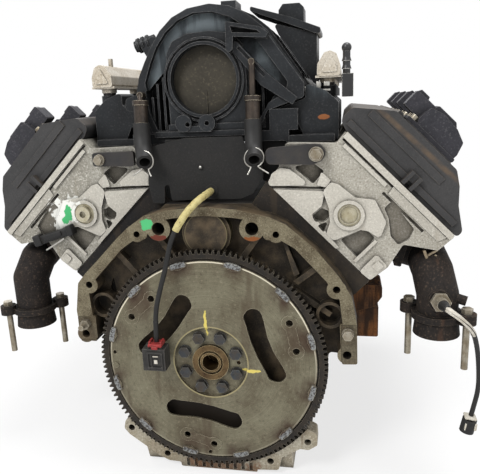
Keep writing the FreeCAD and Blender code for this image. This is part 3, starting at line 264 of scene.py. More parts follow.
def makeRunStains():
    # streaks that ran downwards: noise drawn out along the height
    tree, given, out = startGroup("runStains", {"Vector": origin, "Scale": 60.0, "Cover": 0.4})
    stretch = vectorMaths(tree, "MULTIPLY", given["Vector"], (1.0, 1.0, 0.16))[0]
    noise = addNoise(tree, stretch, given["Scale"], 5)
    middle = ramp(tree, given["Cover"], 0.0, 1.0, 0.72, 0.3, smooth=False)
    feed(tree, out["Mask"], ramp(tree, noise, middle, maths(tree, "ADD", middle, 0.1)))
    return tree


def makePaintSpot():
    # one daub with ragged sides; Centre and Size in metres of the engine frame
    tree, given, out = startGroup("paintSpot", {
        "Vector": origin, "Centre": origin, "Size": (0.01, 0.01, 0.01), "Ragged": 0.6,
        "Scale": 120.0})
    away = vectorMaths(tree, "SUBTRACT", given["Vector"], given["Centre"])[0]
    local = vectorMaths(tree, "DIVIDE", away, given["Size"])[0]
    distance = vectorMaths(tree, "LENGTH", local)["Value"]
    noise = addNoise(tree, given["Vector"], given["Scale"], 5)
    shift = times(tree, maths(tree, "SUBTRACT", noise, 0.5), given["Ragged"])
    reach = maths(tree, "ADD", distance, times(tree, shift, 2.0))
    feed(tree, out["Mask"], ramp(tree, reach, 1.08, 0.88))
    return tree


def makeSpeckle():
    # fine bright and dark flecks of a sand casting or of scale on a pressing
    tree, given, out = startGroup(
        "speckle", {"Vector": origin, "Scale": 420.0, "Cover": 0.4}, ("Dark", "Light"))
    noise = addNoise(tree, given["Vector"], given["Scale"], 6, 0.68)
    middle = ramp(tree, given["Cover"], 0.0, 1.0, 0.34, 0.56, smooth=False)
    feed(tree, out["Dark"], ramp(tree, noise, middle, maths(tree, "SUBTRACT", middle, 0.1)))
    far = maths(tree, "SUBTRACT", 1.0, middle)
    feed(tree, out["Light"], ramp(tree, noise, far, maths(tree, "ADD", far, 0.1)))
    return tree


def makeRearFacing():
    # up on faces that look to the back of the engine
    tree, given, out = startGroup("rearFacing", {"Start": -0.7, "Full": -0.95})
    surface = addNode(tree, "ShaderNodeTexCoord")
    backward = splitPlace(tree, surface.outputs["Normal"])[1]
    feed(tree, out["Mask"], ramp(tree, backward, given["Start"], given["Full"]))
    return tree


def makeAxisDistance():
    # distance from a fore-and-aft axis through Centre, and how far round it in whole turns
    tree, given, out = startGroup(
        "axisDistance", {"Vector": origin, "Centre": origin}, ("Distance", "Turn"))
    away = vectorMaths(tree, "SUBTRACT", given["Vector"], given["Centre"])[0]
    x, y, z = splitPlace(tree, away)[:3]
    square = maths(tree, "ADD", times(tree, x, x), times(tree, z, z))
    feed(tree, out["Distance"], maths(tree, "SQRT", square))
    feed(tree, out["Turn"], maths(tree, "DIVIDE", maths(tree, "ARCTAN2", z, x), 2 * math.pi))
    return tree


def makeBandMask():
    # up between Low and High, with soft sides
    tree, given, out = startGroup("bandMask", {
        "Value": 0.0, "Low": 0.0, "High": 0.01, "Soft": 0.001})
    value, low, high, soft = (given[label] for label in ("Value", "Low", "High", "Soft"))
    rise = ramp(tree, value, maths(tree, "SUBTRACT", low, soft), maths(tree, "ADD", low, soft))
    fall = ramp(tree, value, maths(tree, "ADD", high, soft), maths(tree, "SUBTRACT", high, soft))
    feed(tree, out["Mask"], times(tree, rise, fall))
    return tree


patchMask = makePatchMask()
paintSpot = makePaintSpot()
speckle = makeSpeckle()
edgeWearAndHighlight = makeEdgeWearAndHighlight()
creviceShadeAndDirt = makeCreviceShadeAndDirt()
castGrain = makeCastGrain()
runStains = makeRunStains()
rearFacing = makeRearFacing()
axisDistance = makeAxisDistance()
bandMask = makeBandMask()


def blotches(tree, where, scale, cover, softness):
    return useGroup(tree, patchMask, Vector=where, Scale=scale, Cover=cover,
                    Softness=softness)["Mask"]


def startMaterial(name):
    material = bpy.data.materials.new(name)
    material.use_nodes = True
    return material, material.node_tree, material.node_tree.nodes["Principled BSDF"]


# what a finish has unless it says otherwise; lengths in metres
usualLooks = {
    "patchScale": 60, "patchCover": 0.5, "patchSoft": 0.24, "metal": 0.0, "rough": 0.5,
    "roughStep": 0.12, "specular": 0.3, "fleckScale": 300, "fleckCover": 0.5, "fleckAmount": 0.5,
    "stainScale": 60, "stainCover": 0.35, "stainAmount": 0.6, "dirtReach": 0.02,
    "dirtAmount": 0.8, "dirtRough": 0.8, "edgeWidth": 0.0012, "edgeAmount": 0.7, "grain": 1500,
    "lumps": 70, "grainTone": 0.12, "bump": 0.15, "bumpDepth": 0.0002}


def layeredFinish(name, looks, faces=None):
    # two tones, flecks, stains, the faces' own marks, painted shade in corners and pale edges
    # that are partly wear and partly painted highlight
    looks = {**usualLooks, **looks}
    material, tree, shader = startMaterial(name)
    where = addNode(tree, "ShaderNodeTexCoord").outputs["Object"]
    patches = blotches(tree, where, looks["patchScale"], looks["patchCover"],
                       looks["patchSoft"])
    grain = useGroup(tree, castGrain, Vector=where, Scale=looks["grain"], Lumps=looks["lumps"])
    colour = mixColours(tree, patches, looks["base"], looks["second"])
    tone = ramp(tree, grain["Tone"], 0.0, 1.0, 1 - looks["grainTone"], 1 + looks["grainTone"],
                smooth=False)
    scaled = addNode(tree, "ShaderNodeVectorMath", operation="SCALE")
    colour = feedAll(tree, scaled, Vector=colour, Scale=tone)[0]
    roughness = mixValues(tree, patches, looks["rough"],
                          looks.get("roughSecond", looks["rough"] + looks["roughStep"]))
    metallic = looks["metal"]
    if "fleck" in looks:
        flecks = useGroup(tree, speckle, Vector=where, Scale=looks["fleckScale"],
                          Cover=looks["fleckCover"])
        for kind, key in (("Dark", "fleck"), ("Light", "fleckLight")):
            if key in looks:
                colour = tint(tree, colour, flecks[kind], looks[key], looks["fleckAmount"])
    if "stain" in looks:
        streaks = useGroup(tree, runStains, Vector=where, Scale=looks["stainScale"],
                           Cover=looks["stainCover"])["Mask"]
        colour = tint(tree, colour, streaks, looks["stain"], looks["stainAmount"])
    if faces:
        colour, roughness, metallic = faces(tree, where, colour, roughness, metallic)
    # painted shade in corners and pockets; the same mask gives them a dirt roughness
    if "dirt" in looks:
        dirt = useGroup(tree, creviceShadeAndDirt, Vector=where, Reach=looks["dirtReach"],
                        Strength=looks["dirtAmount"])["Mask"]
        colour = tint(tree, colour, dirt, looks["dirt"])
        roughness = mixValues(tree, dirt, roughness, looks["dirtRough"])
    # pale edges: partly wear, partly painted highlight
    if "edge" in looks:
        wearAndHighlight = useGroup(tree, edgeWearAndHighlight, Vector=where, Width=looks["edgeWidth"],
                        Strength=looks["edgeAmount"])["Mask"]
        colour = tint(tree, colour, wearAndHighlight, looks["edge"])
    feed(tree, shader.inputs["Base Color"], colour)
    feedAll(tree, shader, Roughness=roughness, Metallic=metallic)
    shader.inputs["Specular IOR Level"].default_value = looks["specular"]
    bump = feedAll(tree, addNode(tree, "ShaderNodeBump"), Strength=looks["bump"],
                   Distance=looks["bumpDepth"], Height=grain["Height"])
    feed(tree, shader.inputs["Normal"], bump[0])
    return material


def dress(names, material):
    for name in names:
        part = nodes[name]
        part.data.materials.clear()
        part.data.materials.append(material)
        for face in part.data.polygons:
            face.material_index = 0


def finish(names, *look):
    material = layeredFinish(*look)
    dress(names, material)
    return material


print("effects ready")


# leads: the long one ends in a plug, the short one comes from the exhaust sensor

harnessLead = {"radius": 4.5, "cable": 3.4, "length": 261.6, "points": [
    (4, 45, 239), (4, 20, 239), (-6, -4, 232), (-22, -15, 214), (-40, -18, 184),
    (-48, -20, 148), (-60, -21, 112), (-70, -20, 76), (-70, -20, 38)]}
sensorLead = {"radius": 3.5, "cable": 3.0, "length": 199.4, "points": [
    (306, -26, 104.333), (306, -46, 107.667), (322, -51, 98), (338, -43, 80), (347, -30, 52),
    (352, -22, 22), (354, -19, -8), (350, -19, -32), (346, -19, -52)]}


def linkPiece(name, data, material, body="engine"):
    piece = newObject(name, data)
    data.materials.append(material)
    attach(piece, body)
    return piece


def wireCurve(name, places, radius, roundness, steps=12):
    # one smooth open spline with these places as its control points, in millimetres
    curve = bpy.data.curves.new(name, "CURVE")
    curve.dimensions = "3D"
    curve.resolution_u = steps
    curve.bevel_depth = radius * mm
    curve.bevel_resolution = roundness
    spline = curve.splines.new("NURBS")
    spline.points.add(len(places) - 1)
    for point, place in zip(spline.points, places):
        point.co = (*at(*place), 1)
    spline.order_u = 3
    spline.use_endpoint_u = True
    return curve


def leadCurve(name, lead, material, bare=False):
    radius = 0 if bare else lead["cable"]
    return linkPiece(name, wireCurve(name, lead["points"], radius, 5, 14), material)


rubberBlack = layeredFinish("rubberBlack", {
    "base": (22, 22, 22), "second": (34, 33, 32), "specular": 0.35, "fleck": (70, 64, 54),
    "fleckCover": 0.2, "fleckAmount": 0.4, "edge": (88, 84, 78), "edgeAmount": 0.5, "grain": 1400,
    "bump": 0.2, "bumpDepth": 0.0003})
connectorGrey = layeredFinish("connectorGrey", {
    "base": (54, 52, 49), "second": (38, 37, 36), "patchScale": 90, "dirt": (12, 12, 12),
    "dirtReach": 0.008, "dirtAmount": 0.9, "edge": (132, 128, 120), "grain": 1600})


def readRoute(lead, step=0.0015):
    # evenly spaced stations on the lead's own spline, read while it has no thickness
    bare = leadCurve("route_probe", lead, rubberBlack, bare=True)
    mesh = bpy.data.meshes.new_from_object(bare)
    corners = [vertex.co.copy() for vertex in mesh.vertices]
    bpy.data.objects.remove(bare)
    stations = [corners[0]]
    spare = 0.0
    for start, end in zip(corners, corners[1:]):
        run = (end - start).length
        while spare + run >= step:
            share = (step - spare) / run
            start = start.lerp(end, share)
            run = (end - start).length
            stations.append(start.copy())
            spare = 0.0
        spare += run
    return stations


def meshPiece(name, mesh, material):
    data = bpy.data.meshes.new(name)
    mesh.to_mesh(data)
    mesh.free()
    return linkPiece(name, data, material)


def sleeve(name, stations, radiusAt, material, sides=20):
    # a closed tube round the stations; radiusAt gives millimetres
    mesh = bmesh.new()
    rings = []
    side = None
    last = len(stations) - 1
    for index, centre in enumerate(stations):
        along = (stations[min(index + 1, last)] - stations[max(index - 1, 0)]).normalized()
        if side is None:
            side = along.orthogonal().normalized()
        side = (side - along * side.dot(along)).normalized()
        other = along.cross(side)
        ring = []
        for k in range(sides):
            angle = 2 * math.pi * k / sides
            radius = radiusAt(index / last, angle, index) * mm
            direction = side * math.cos(angle) + other * math.sin(angle)
            ring.append(mesh.verts.new(centre + direction * radius))
        rings.append(ring)
    for lower, upper in zip(rings, rings[1:]):
        for k in range(sides):
            n = (k + 1) % sides
            mesh.faces.new((lower[k], lower[n], upper[n], upper[k]))
    mesh.faces.new(list(reversed(rings[0])))
    mesh.faces.new(rings[-1])
    for face in mesh.faces:
        face.smooth = len(face.verts) == 4
    return meshPiece(name, mesh, material)


def blockCluster(name, blocks, material):
    # bevelled blocks given as centre, size, bevel and tilt about the engine's long axis
    mesh = bmesh.new()
    for centre, size, bevel, tilt in blocks:
        made = bmesh.ops.create_cube(mesh, size=1.0)["verts"]
        bmesh.ops.scale(mesh, vec=Vector(size) * mm, verts=made)
        edges = list({edge for vertex in made for edge in vertex.link_edges})
        shaped = bmesh.ops.bevel(mesh, geom=edges, offset=bevel * mm, segments=3,
                                 affect="EDGES", profile=0.5)["verts"]
        turned = list(set(shaped) | {v for v in made if v.is_valid})
        bmesh.ops.rotate(mesh, verts=turned, matrix=Matrix.Rotation(math.radians(tilt), 3, "Y"))
        bmesh.ops.translate(mesh, verts=turned, vec=at(*centre))
    for face in mesh.faces:
        face.smooth = True
    return meshPiece(name, mesh, material)


tapeYellow = layeredFinish("tapeYellow", {
    "base": (206, 196, 140), "second": (176, 160, 104), "patchScale": 90, "fleck": (92, 82, 58),
    "fleckScale": 260, "fleckCover": 0.45, "fleckAmount": 0.8, "stain": (120, 104, 66),
    "bump": 0.3, "bumpDepth": 0.0004})
wireWhite = layeredFinish("wireWhite", {
    "base": (206, 202, 192), "second": (178, 170, 154), "patchScale": 120, "rough": 0.45,
    "fleck": (110, 98, 80), "fleckCover": 0.4, "fleckAmount": 0.6})
lockRed = layeredFinish("lockRed", {
    "base": (164, 52, 50), "second": (112, 34, 34), "patchScale": 120, "rough": 0.42,
    "fleck": (44, 20, 18), "fleckAmount": 0.7, "dirt": (24, 12, 12), "dirtReach": 0.006,
    "edge": (214, 122, 114), "bump": 0.12})

harnessRoute = readRoute(harnessLead)
sensorRoute = readRoute(sensorLead)
harnessTape = {"radius": 4.65, "lap": 0.45, "pitch": 8, "startTaper": 14, "endTaper": 20}
wireBundle = {"radius": 3.0, "rise": 0.9, "twist": 0.05, "narrowing": 0.5}
relief = {"radius": 6.4, "narrowing": 2.0, "rib": 0.35, "ribPace": 40}


def tapeRadius(share, angle, index):
    lap = (index / harnessTape["pitch"] + angle / (2 * math.pi)) % 1
    ends = min(1, share * harnessTape["startTaper"], (1 - share) * harnessTape["endTaper"])
    return harnessTape["radius"] + harnessTape["lap"] * lap * ends


def wireRadius(share, angle, index):
    # four thin wires lying side by side, slowly twisting
    ridge = abs(math.cos(2 * angle + index * wireBundle["twist"]))
    return wireBundle["radius"] + wireBundle["rise"] * ridge - wireBundle["narrowing"] * share


def reliefRadius(share, angle, index):
    return (relief["radius"] - relief["narrowing"] * share
            + relief["rib"] * math.cos(share * relief["ribPace"]))


tapePiece = sleeve("harness_tape", harnessRoute[2:66], tapeRadius, tapeYellow, 24)
harnessWires = sleeve("harness_wires", harnessRoute[-22:-2], wireRadius, rubberBlack, 32)
sensorWires = sleeve("sensor_wires", sensorRoute[3:46], wireRadius, wireWhite, 32)
sensorRelief = sleeve("sensor_relief", sensorRoute[:12], reliefRadius, rubberBlack)
lockPiece = blockCluster("plug_lock", [
    ((-70, -21.6, 36.5), (20, 19, 4.6), 1.4, 0), ((-78, -21.6, 40), (3.4, 14, 4), 1.2, 0),
    ((-62, -21.6, 40), (3.4, 14, 4), 1.2, 0), ((-70, -31, 33.4), (9, 2.6, 4), 0.8, 0)], lockRed)
markPiece = blockCluster("plug_mark", [
    ((-69, -33, 14), (5, 1.4, 6), 0.6, 0), ((-69, -33, 22), (8, 1.4, 1.8), 0.6, 0)], wireWhite)
ribPiece = blockCluster("plug_ribs", [
    ((-80, -32.6, 15), (2.4, 2.2, 26), 0.8, 0), ((-60, -32.6, 15), (2.4, 2.2, 26), 0.8, 0),
    ((-70, -32.8, 27), (22, 2.4, 2.6), 0.8, 0), ((-70, -32.8, 5), (22, 2.4, 2.6), 0.8, 0),
    ((-75, -32.4, 15), (1.6, 1.8, 18), 0.6, 0)], connectorGrey)
creamPiece = blockCluster("sensor_end_collar", [
    ((346, -19, -49), (15, 14, 4), 1.8, 8), ((340, -26, -60), (3, 2, 10), 0.8, 8),
    ((352, -26, -60), (3, 2, 10), 0.8, 8)], wireWhite)

harnessPiece = leadCurve("harness_cable", harnessLead, rubberBlack)
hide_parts("harness_lead")
sensorPiece = leadCurve("sensor_cable", sensorLead, rubberBlack)
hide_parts("sensor_lead")
print("leads hung")


# studio
studio = {"floorDrop": 0.002, "floorReach": 9.0, "floorTone": 0.93, "floorRough": 0.9,
          "skyStrength": 0.4, "fadeCentre": (0, 0.25), "fadeStart": 0.45, "fadeEnd": 1.1,
          "nearGlow": 0.72, "aim": (0, 0.2, 0.15)}
# each lamp's place, size and power
lamps = {"keyLamp": ((-1.0, -1.7, 2.0), 0.9, 44), "topLamp": ((0.4, 0.3, 2.4), 1.2, 46),
         "fillLamp": ((1.8, -1.4, 0.9), 1.6, 7), "rimLamp": ((-1.8, 1.9, 1.4), 1.6, 14)}


def backgroundRays(tree):
    # rays that should meet plain white: seen straight, in gloss or through glass
    seen = addNode(tree, "ShaderNodeLightPath").outputs
    direct = maths(tree, "ADD", seen["Is Camera Ray"], seen["Is Glossy Ray"])
    return maths(tree, "ADD", direct, seen["Is Transmission Ray"], clamp=True)


def mixShaders(tree, amount, first, second, target):
    mix = addNode(tree, "ShaderNodeMixShader")
    for socket, value in zip(mix.inputs, (amount, first, second)):
        feed(tree, socket, value)
    feed(tree, target, mix.outputs[0])


def buildWorld(settings):
    world = bpy.data.worlds.new("paleStudio")
    bpy.context.scene.world = world
    world.use_nodes = True
    tree = world.node_tree
    tree.nodes.clear()
    skies = []
    for strength in (settings["skyStrength"], 1):
        sky = addNode(tree, "ShaderNodeBackground")
        sky.inputs["Color"].default_value = (1, 1, 1, 1)
        sky.inputs["Strength"].default_value = strength
        skies.append(sky.outputs[0])
    mixShaders(tree, backgroundRays(tree), *skies,
               addNode(tree, "ShaderNodeOutputWorld").inputs[0])


def buildLamps(aimedAt, lamps):
    for name, (place, size, power) in lamps.items():
        data = bpy.data.lights.new(name, "AREA")
        data.shape = "DISK"
        data.size = size
        data.energy = power
        lamp = newObject(name, data)
        lamp.location = place
        aim = Vector(aimedAt) - lamp.location
        lamp.rotation_euler = aim.to_track_quat("-Z", "Y").to_euler()


def buildFloor(settings):
    # matt and pale, keeping the engine's shadow; it fades to white further out
    floorMesh = bpy.data.meshes.new("studioFloor")
    reach = settings["floorReach"]
    level = cadLow.z - settings["floorDrop"]
    corners = [(x * reach, y * reach, level) for x, y in ((-1, -1), (1, -1), (1, 1), (-1, 1))]
    floorMesh.from_pydata(corners, [], [(0, 1, 2, 3)])
    floor = newObject("studio_floor", floorMesh)
    material, tree, shader = startMaterial("floorWhite")
    tone = settings["floorTone"]
    shader.inputs["Base Color"].default_value = (tone, tone, tone, 1)
    feedAll(tree, shader, Roughness=settings["floorRough"])
    glow = addNode(tree, "ShaderNodeEmission")
    place = addNode(tree, "ShaderNodeTexCoord").outputs["Object"]
    away = vectorMaths(tree, "DISTANCE", place, (*settings["fadeCentre"], level))["Value"]
    bright = ramp(tree, away, settings["fadeStart"], settings["fadeEnd"],
                  settings["nearGlow"], 1.0)
    mixShaders(tree, times(tree, backgroundRays(tree), bright), shader.outputs[0],
               glow.outputs[0], tree.nodes["Material Output"].inputs[0])
    floorMesh.materials.append(material)


buildWorld(studio)
buildLamps(studio["aim"], lamps)
buildFloor(studio)
bpy.context.scene.view_settings.view_transform = "Standard"
print("studio lit")


# marks of their own that some castings and pressings have; lengths in millimetres
# (sheen is roughness and metal, handed back as they came)

def daub(tree, where, colour, centre, size, paint, ragged=0.6, scale=120.0,
         strength=None):
    mask = useGroup(tree, paintSpot, Vector=where, Centre=tuple(at(*centre)),
                    Size=tuple(at(*size)), Ragged=ragged, Scale=scale)["Mask"]
    return tint(tree, colour, mask, paint, strength)


def rearMask(tree):
    return useGroup(tree, rearFacing)["Mask"]


def roundAxis(tree, where, centre=(0, 0, 0)):
    return useGroup(tree, axisDistance, Vector=where, Centre=tuple(at(*centre)))


def past(tree, value, start, end, outLow=0.0, outHigh=1.0):
    # rises from start to end, whichever way round they are
    return ramp(tree, value, start * mm, end * mm, outLow, outHigh)


def band(tree, value, low, high, soft):
    return useGroup(tree, bandMask, Value=value, Low=low * mm,
                    High=high * mm, Soft=soft * mm)["Mask"]


camPlugCentre = (0, 0, 184)
blockMarks = {
    "flange": (9.5, 8.5), "cavity": (40, 34), "milled": ((120, 112, 91), (82, 72, 55)),
    "oily": ((46, 40, 32), (96, 82, 63)), "rings": ((28.8, 30.5), (33.5, 34.5)),
    "daubs": (((-81, 8, 199), (9, 8, 8.5), (84, 186, 120), 0.6),
              ((-66, 8, 180), (12, 8, 5), (104, 52, 40), 1.2),
              ((64, 8, 176), (14, 8, 6), (128, 76, 40), 1.2))}


def blockFaces(tree, where, colour, roughness, metallic):
    # milled tan rear flange, oily cavity behind it, black outer walls
    depth = splitPlace(tree, where)[1]
    onFlange = times(tree, rearMask(tree), past(tree, depth, *blockMarks["flange"]))
    mottled = blotches(tree, where, 40.0, 0.42, 0.2)
    flecks = useGroup(tree, speckle, Vector=where, Scale=520.0, Cover=0.6)
    milled, oily = (mixColours(tree, mottled, *blockMarks[key])
                    for key in ("milled", "oily"))
    milled = tint(tree, milled, flecks["Dark"], (46, 38, 28), 0.45)
    milled = tint(tree, milled, flecks["Light"], (172, 164, 142), 0.35)
    for centre, size, paint, ragged in blockMarks["daubs"]:
        milled = daub(tree, where, milled, centre, size, paint, ragged)
    oily = tint(tree, oily, flecks["Light"], (96, 84, 66), 0.35)
    # painted highlight: pale thin rings on the edges round the cam plug's bore
    radius = roundAxis(tree, where, camPlugCentre)["Distance"]
    rings = maths(tree, "ADD", *(band(tree, radius, low, high, 0.6)
                                 for low, high in blockMarks["rings"]), clamp=True)
    oily = tint(tree, oily, rings, (112, 102, 74), 0.7)
    colour = mixColours(tree, past(tree, depth, *blockMarks["cavity"]), colour, oily)
    colour = mixColours(tree, onFlange, colour, milled)
    return colour, mixValues(tree, onFlange, roughness, 0.48), times(tree, onFlange, 0.35)


headMarks = {"raisedHighlight": (214, 209, 198), "sunkShade": (84, 78, 68)}
leftDaubs = (((-216, 210), (34, 20, 19), (232, 232, 226), 1.1),
             ((-232, 190), (20, 20, 10), (232, 232, 226), 1.1),
             ((-219, 204), (6, 20, 12), (74, 178, 112), 1.3),
             ((-226, 196), (5, 20, 7), (74, 178, 112), 1.3))


def headFaces(rearFace, daubs=()):
    # the raised pads are painted paler than the cast skin behind them (painted highlight), the
    # sunk panels darker (painted shade)
    def paint(tree, where, colour, *sheen):
        rearward = rearMask(tree)
        depth = splitPlace(tree, where)[1]
        raised = times(tree, rearward, past(tree, depth, rearFace - 0.8, rearFace - 3))
        sunk = times(tree, band(tree, depth, rearFace + 2, rearFace + 12, 0.8), rearward)
        # painted highlight on the raised pads, painted shade in the sunk panels
        colour = tint(tree, colour, raised, headMarks["raisedHighlight"], 0.45)
        colour = tint(tree, colour, sunk, headMarks["sunkShade"], 0.7)
        for (x, z), size, tone, ragged in daubs:
            colour = daub(tree, where, colour, (x, rearFace, z), size, tone, ragged)
        return colour, *sheen
    return paint


flexMarks = {
    "welds": 12, "weldReach": (144.2, 145.6), "scorchReach": (122, 146), "pads": 3,
    "padTurn": 40, "padReach": (113, 141), "rim": (147.8, 149.4), "innerRing": (53.2, 54.8),
    "highlightHeight": (-30, 80), "turningMarks": 520, "touchPaint": (214, 196, 104),
    "touches": (((-4, 4, 60), (2.4, 12, 17)), ((58, 4, -10), (14, 12, 2.6)))}


def flexFaces(tree, where, colour, *sheen):
    # turned rings, heat-stained weld beads, a painted highlight on the rim, strongest towards the
    # top, and two old paint touches
    polar = roundAxis(tree, where)
    radius, turn = polar["Distance"], polar["Turn"]

    def awayFrom(count, offset):
        # 0 at each of the evenly spaced places round the plate, 0.5 midway between
        lap = times(tree, maths(tree, "ADD", turn, 1 + offset / 360), count)
        return maths(tree, "ABSOLUTE",
                     maths(tree, "SUBTRACT", maths(tree, "FRACT", lap), 0.5))
    rings = addNode(tree, "ShaderNodeTexNoise", noise_dimensions="1D")
    feed(tree, rings.inputs["W"], radius)
    rings.inputs["Scale"].default_value = flexMarks["turningMarks"]
    turned = ramp(tree, rings.outputs[0], 0.35, 0.65, 0.0, 0.2)
    colour = tint(tree, colour, turned, (72, 60, 46))
    off = awayFrom(flexMarks["welds"], 0)
    scorch = blotches(tree, where, 34.0, 0.6, 0.25)
    burnt = times(tree, ramp(tree, off, 0.42, 0.1),
                  past(tree, radius, *flexMarks["scorchReach"]))
    colour = tint(tree, colour, times(tree, burnt, scorch), (54, 33, 23))
    padHalo = times(tree, ramp(tree, awayFrom(flexMarks["pads"], flexMarks["padTurn"]),
                               0.12, 0.04), band(tree, radius, *flexMarks["padReach"], 8))
    colour = tint(tree, colour, padHalo, (64, 44, 32), 0.45)
    weld = times(tree, ramp(tree, off, 0.17, 0.13), past(tree, radius, *flexMarks["weldReach"]))
    spatter = useGroup(tree, speckle, Vector=where, Scale=330.0, Cover=0.9)
    bead = mixColours(tree, spatter["Dark"], (134, 136, 136), (66, 62, 60))
    colour = mixColours(tree, weld, colour, bead)
    # painted highlight along the rim between the welds, rising towards the top
    rim = times(tree, band(tree, radius, *flexMarks["rim"], 0.4), ramp(tree, off, 0.14, 0.2))
    highlightRise = past(tree, splitPlace(tree, where)[2], *flexMarks["highlightHeight"], 0.15, 0.9)
    colour = tint(tree, colour, times(tree, rim, highlightRise), (222, 214, 192))
    inner = band(tree, radius, *flexMarks["innerRing"], 0.5)
    colour = tint(tree, colour, inner, (168, 156, 112), 0.7)
    for centre, size in flexMarks["touches"]:
        colour = daub(tree, where, colour, centre, size, flexMarks["touchPaint"], 1.2)
    return colour, *sheen


plugMarks = {"lip": (21.5, 23.2, 0.6), "step": (18.5, 20.5, 0.8)}


def plugFaces(tree, where, colour, *sheen):
    # a painted highlight on the lip, and a painted shade line where the cup steps down
    radius = roundAxis(tree, where, camPlugCentre)["Distance"]
    colour = tint(tree, colour, band(tree, radius, *plugMarks["lip"]), (124, 116, 90), 0.75)
    colour = tint(tree, colour, band(tree, radius, *plugMarks["step"]), (22, 20, 16), 0.7)
    return colour, *sheen


def railFaces(tree, where, colour, roughness, metallic):
    # the fuel inlet at the right rear is black plastic
    x, y = splitPlace(tree, where)[:2]
    inlet = times(tree, past(tree, x, 180.8, 181.2), past(tree, y, 100, 99))
    colour = tint(tree, colour, inlet, (40, 40, 41))
    return colour, roughness, times(tree, maths(tree, "SUBTRACT", 1.0, inlet), 0.4)


def injectorFaces(tree, where, colour, *sheen):
    # black bodies, one orange seal each
    seal = band(tree, splitPlace(tree, where)[2], 362, 369, 0.4)
    return mixColours(tree, seal, (38, 38, 40), colour), *sheen


intakeMarks = {"sunkFace": (68.5, 71.5), "sheenFrom": (345, 400), "seal": (
    (158, 70, 333), (8, 6, 3.4), (142, 88, 52), 0.5)}


def intakeFaces(tree, where, colour, *sheen):
    # the sunk crescent inside the rim is painted blue-grey in streaks, a painted reflection of
    # the sky on its face
    parts = splitPlace(tree, where)
    sunk = band(tree, parts[1], *intakeMarks["sunkFace"], 0.6)
    high = past(tree, parts[2], *intakeMarks["sheenFrom"])
    streaks = useGroup(tree, runStains, Vector=where, Scale=46.0, Cover=0.75)["Mask"]
    # painted reflection in the sunk crescent
    paintedSheen = mixColours(tree, streaks, (58, 64, 68), (96, 104, 108))
    amount = times(tree, times(tree, sunk, rearMask(tree)), high)
    colour = mixColours(tree, amount, colour, paintedSheen)
    return daub(tree, where, colour, *intakeMarks["seal"]), *sheen


coverMarks = {"slope": (0.69, 0.73), "ridge": (404, 410), "dust": (104, 86, 66)}


def coverFaces(tree, where, colour, *sheen):
    # brown dust along the right cover's ridge and on whatever faces up
    parts = splitPlace(tree, where)
    across = maths(tree, "ADD", times(tree, parts[0], coverMarks["slope"][0]),
                   times(tree, parts[2], coverMarks["slope"][1]))
    patches = blotches(tree, where, 45.0, 0.55, 0.2)
    ridge = times(tree, band(tree, across, *coverMarks["ridge"], 2), rearMask(tree))
    upward = splitPlace(tree, addNode(tree, "ShaderNodeTexCoord").outputs["Normal"])[2]
    settled = ramp(tree, upward, 0.3, 0.95, 0.0, 0.4)
    dust = maths(tree, "MAXIMUM", times(tree, ridge, 0.75), settled)
    colour = tint(tree, colour, times(tree, dust, patches), coverMarks["dust"])
    return colour, *sheen


def panFaces(tree, where, colour, *sheen):
    # rust on the low part of the rear face, painted shade behind the flexplate
    behind = times(tree, past(tree, roundAxis(tree, where)["Distance"], 160, 150),
                   past(tree, splitPlace(tree, where)[1], 40, 30))
    colour = tint(tree, colour, behind, (36, 30, 24))
    colour = daub(tree, where, colour, (0, 8, -170), (62, 9, 12), (112, 74, 46), 0.9, 60.0, 0.7)
    return colour, *sheen


def mountFaces(tree, where, colour, *sheen):
    # rusty, with a drawn vertical grain
    flow = vectorMaths(tree, "MULTIPLY", where, (1.0, 1.0, 0.12))[0]
    dark = ramp(tree, addNoise(tree, flow, 150, 5), 0.4, 0.6, 0.0, 0.8)
    return tint(tree, colour, dark, (38, 28, 22)), *sheen


# finishes of the castings and pressings
finish(["engine_block"], "blockPaint", {
    "base": (22, 21, 22), "second": (38, 33, 29), "patchScale": 22, "rough": 0.55,
    "specular": 0.25, "fleck": (12, 11, 10), "fleckLight": (84, 72, 56), "fleckScale": 260,
    "fleckCover": 0.4, "stain": (62, 52, 40), "stainCover": 0.3, "dirt": (11, 10, 9),
    "dirtReach": 0.03, "dirtAmount": 0.85, "edge": (126, 114, 92), "edgeAmount": 0.55,
    "grain": 900, "bump": 0.35, "bumpDepth": 0.0006}, blockFaces)
headLooks = {
    "base": (182, 178, 167), "second": (158, 153, 141), "patchScale": 14, "metal": 0.25,
    "fleck": (92, 86, 74), "fleckLight": (228, 224, 214), "fleckScale": 420, "fleckCover": 0.55,
    "fleckAmount": 0.55, "stain": (134, 120, 96), "stainCover": 0.25, "stainAmount": 0.35,
    "dirt": (34, 31, 26), "dirtReach": 0.014, "dirtAmount": 1.0, "edge": (236, 232, 222),
    "edgeWidth": 0.001, "edgeAmount": 0.8, "grain": 700, "bump": 0.45, "bumpDepth": 0.0009}
finish(["right_cylinder_head"], "rightHeadCast", headLooks, headFaces(38))
# the left head: the same finish painted darker, as painted shade
finish(["left_cylinder_head"], "leftHeadCast", {
    **headLooks, "base": (166, 163, 153), "second": (140, 136, 125)}, headFaces(58, leftDaubs))
finish(["right_valve_cover", "left_valve_cover", "oil_filler_cap"], "coverPlastic", {
    "base": (45, 45, 46), "second": (62, 61, 61), "patchScale": 12, "rough": 0.46,
    "fleck": (28, 28, 29), "fleckLight": (84, 82, 80), "fleckScale": 500, "fleckAmount": 0.3,
    "stain": (92, 86, 78), "stainCover": 0.15, "stainAmount": 0.4, "dirt": (16, 16, 17),
    "dirtReach": 0.012, "edge": (126, 116, 102), "edgeAmount": 0.4, "bump": 0.2,
    "bumpDepth": 0.0003}, coverFaces)
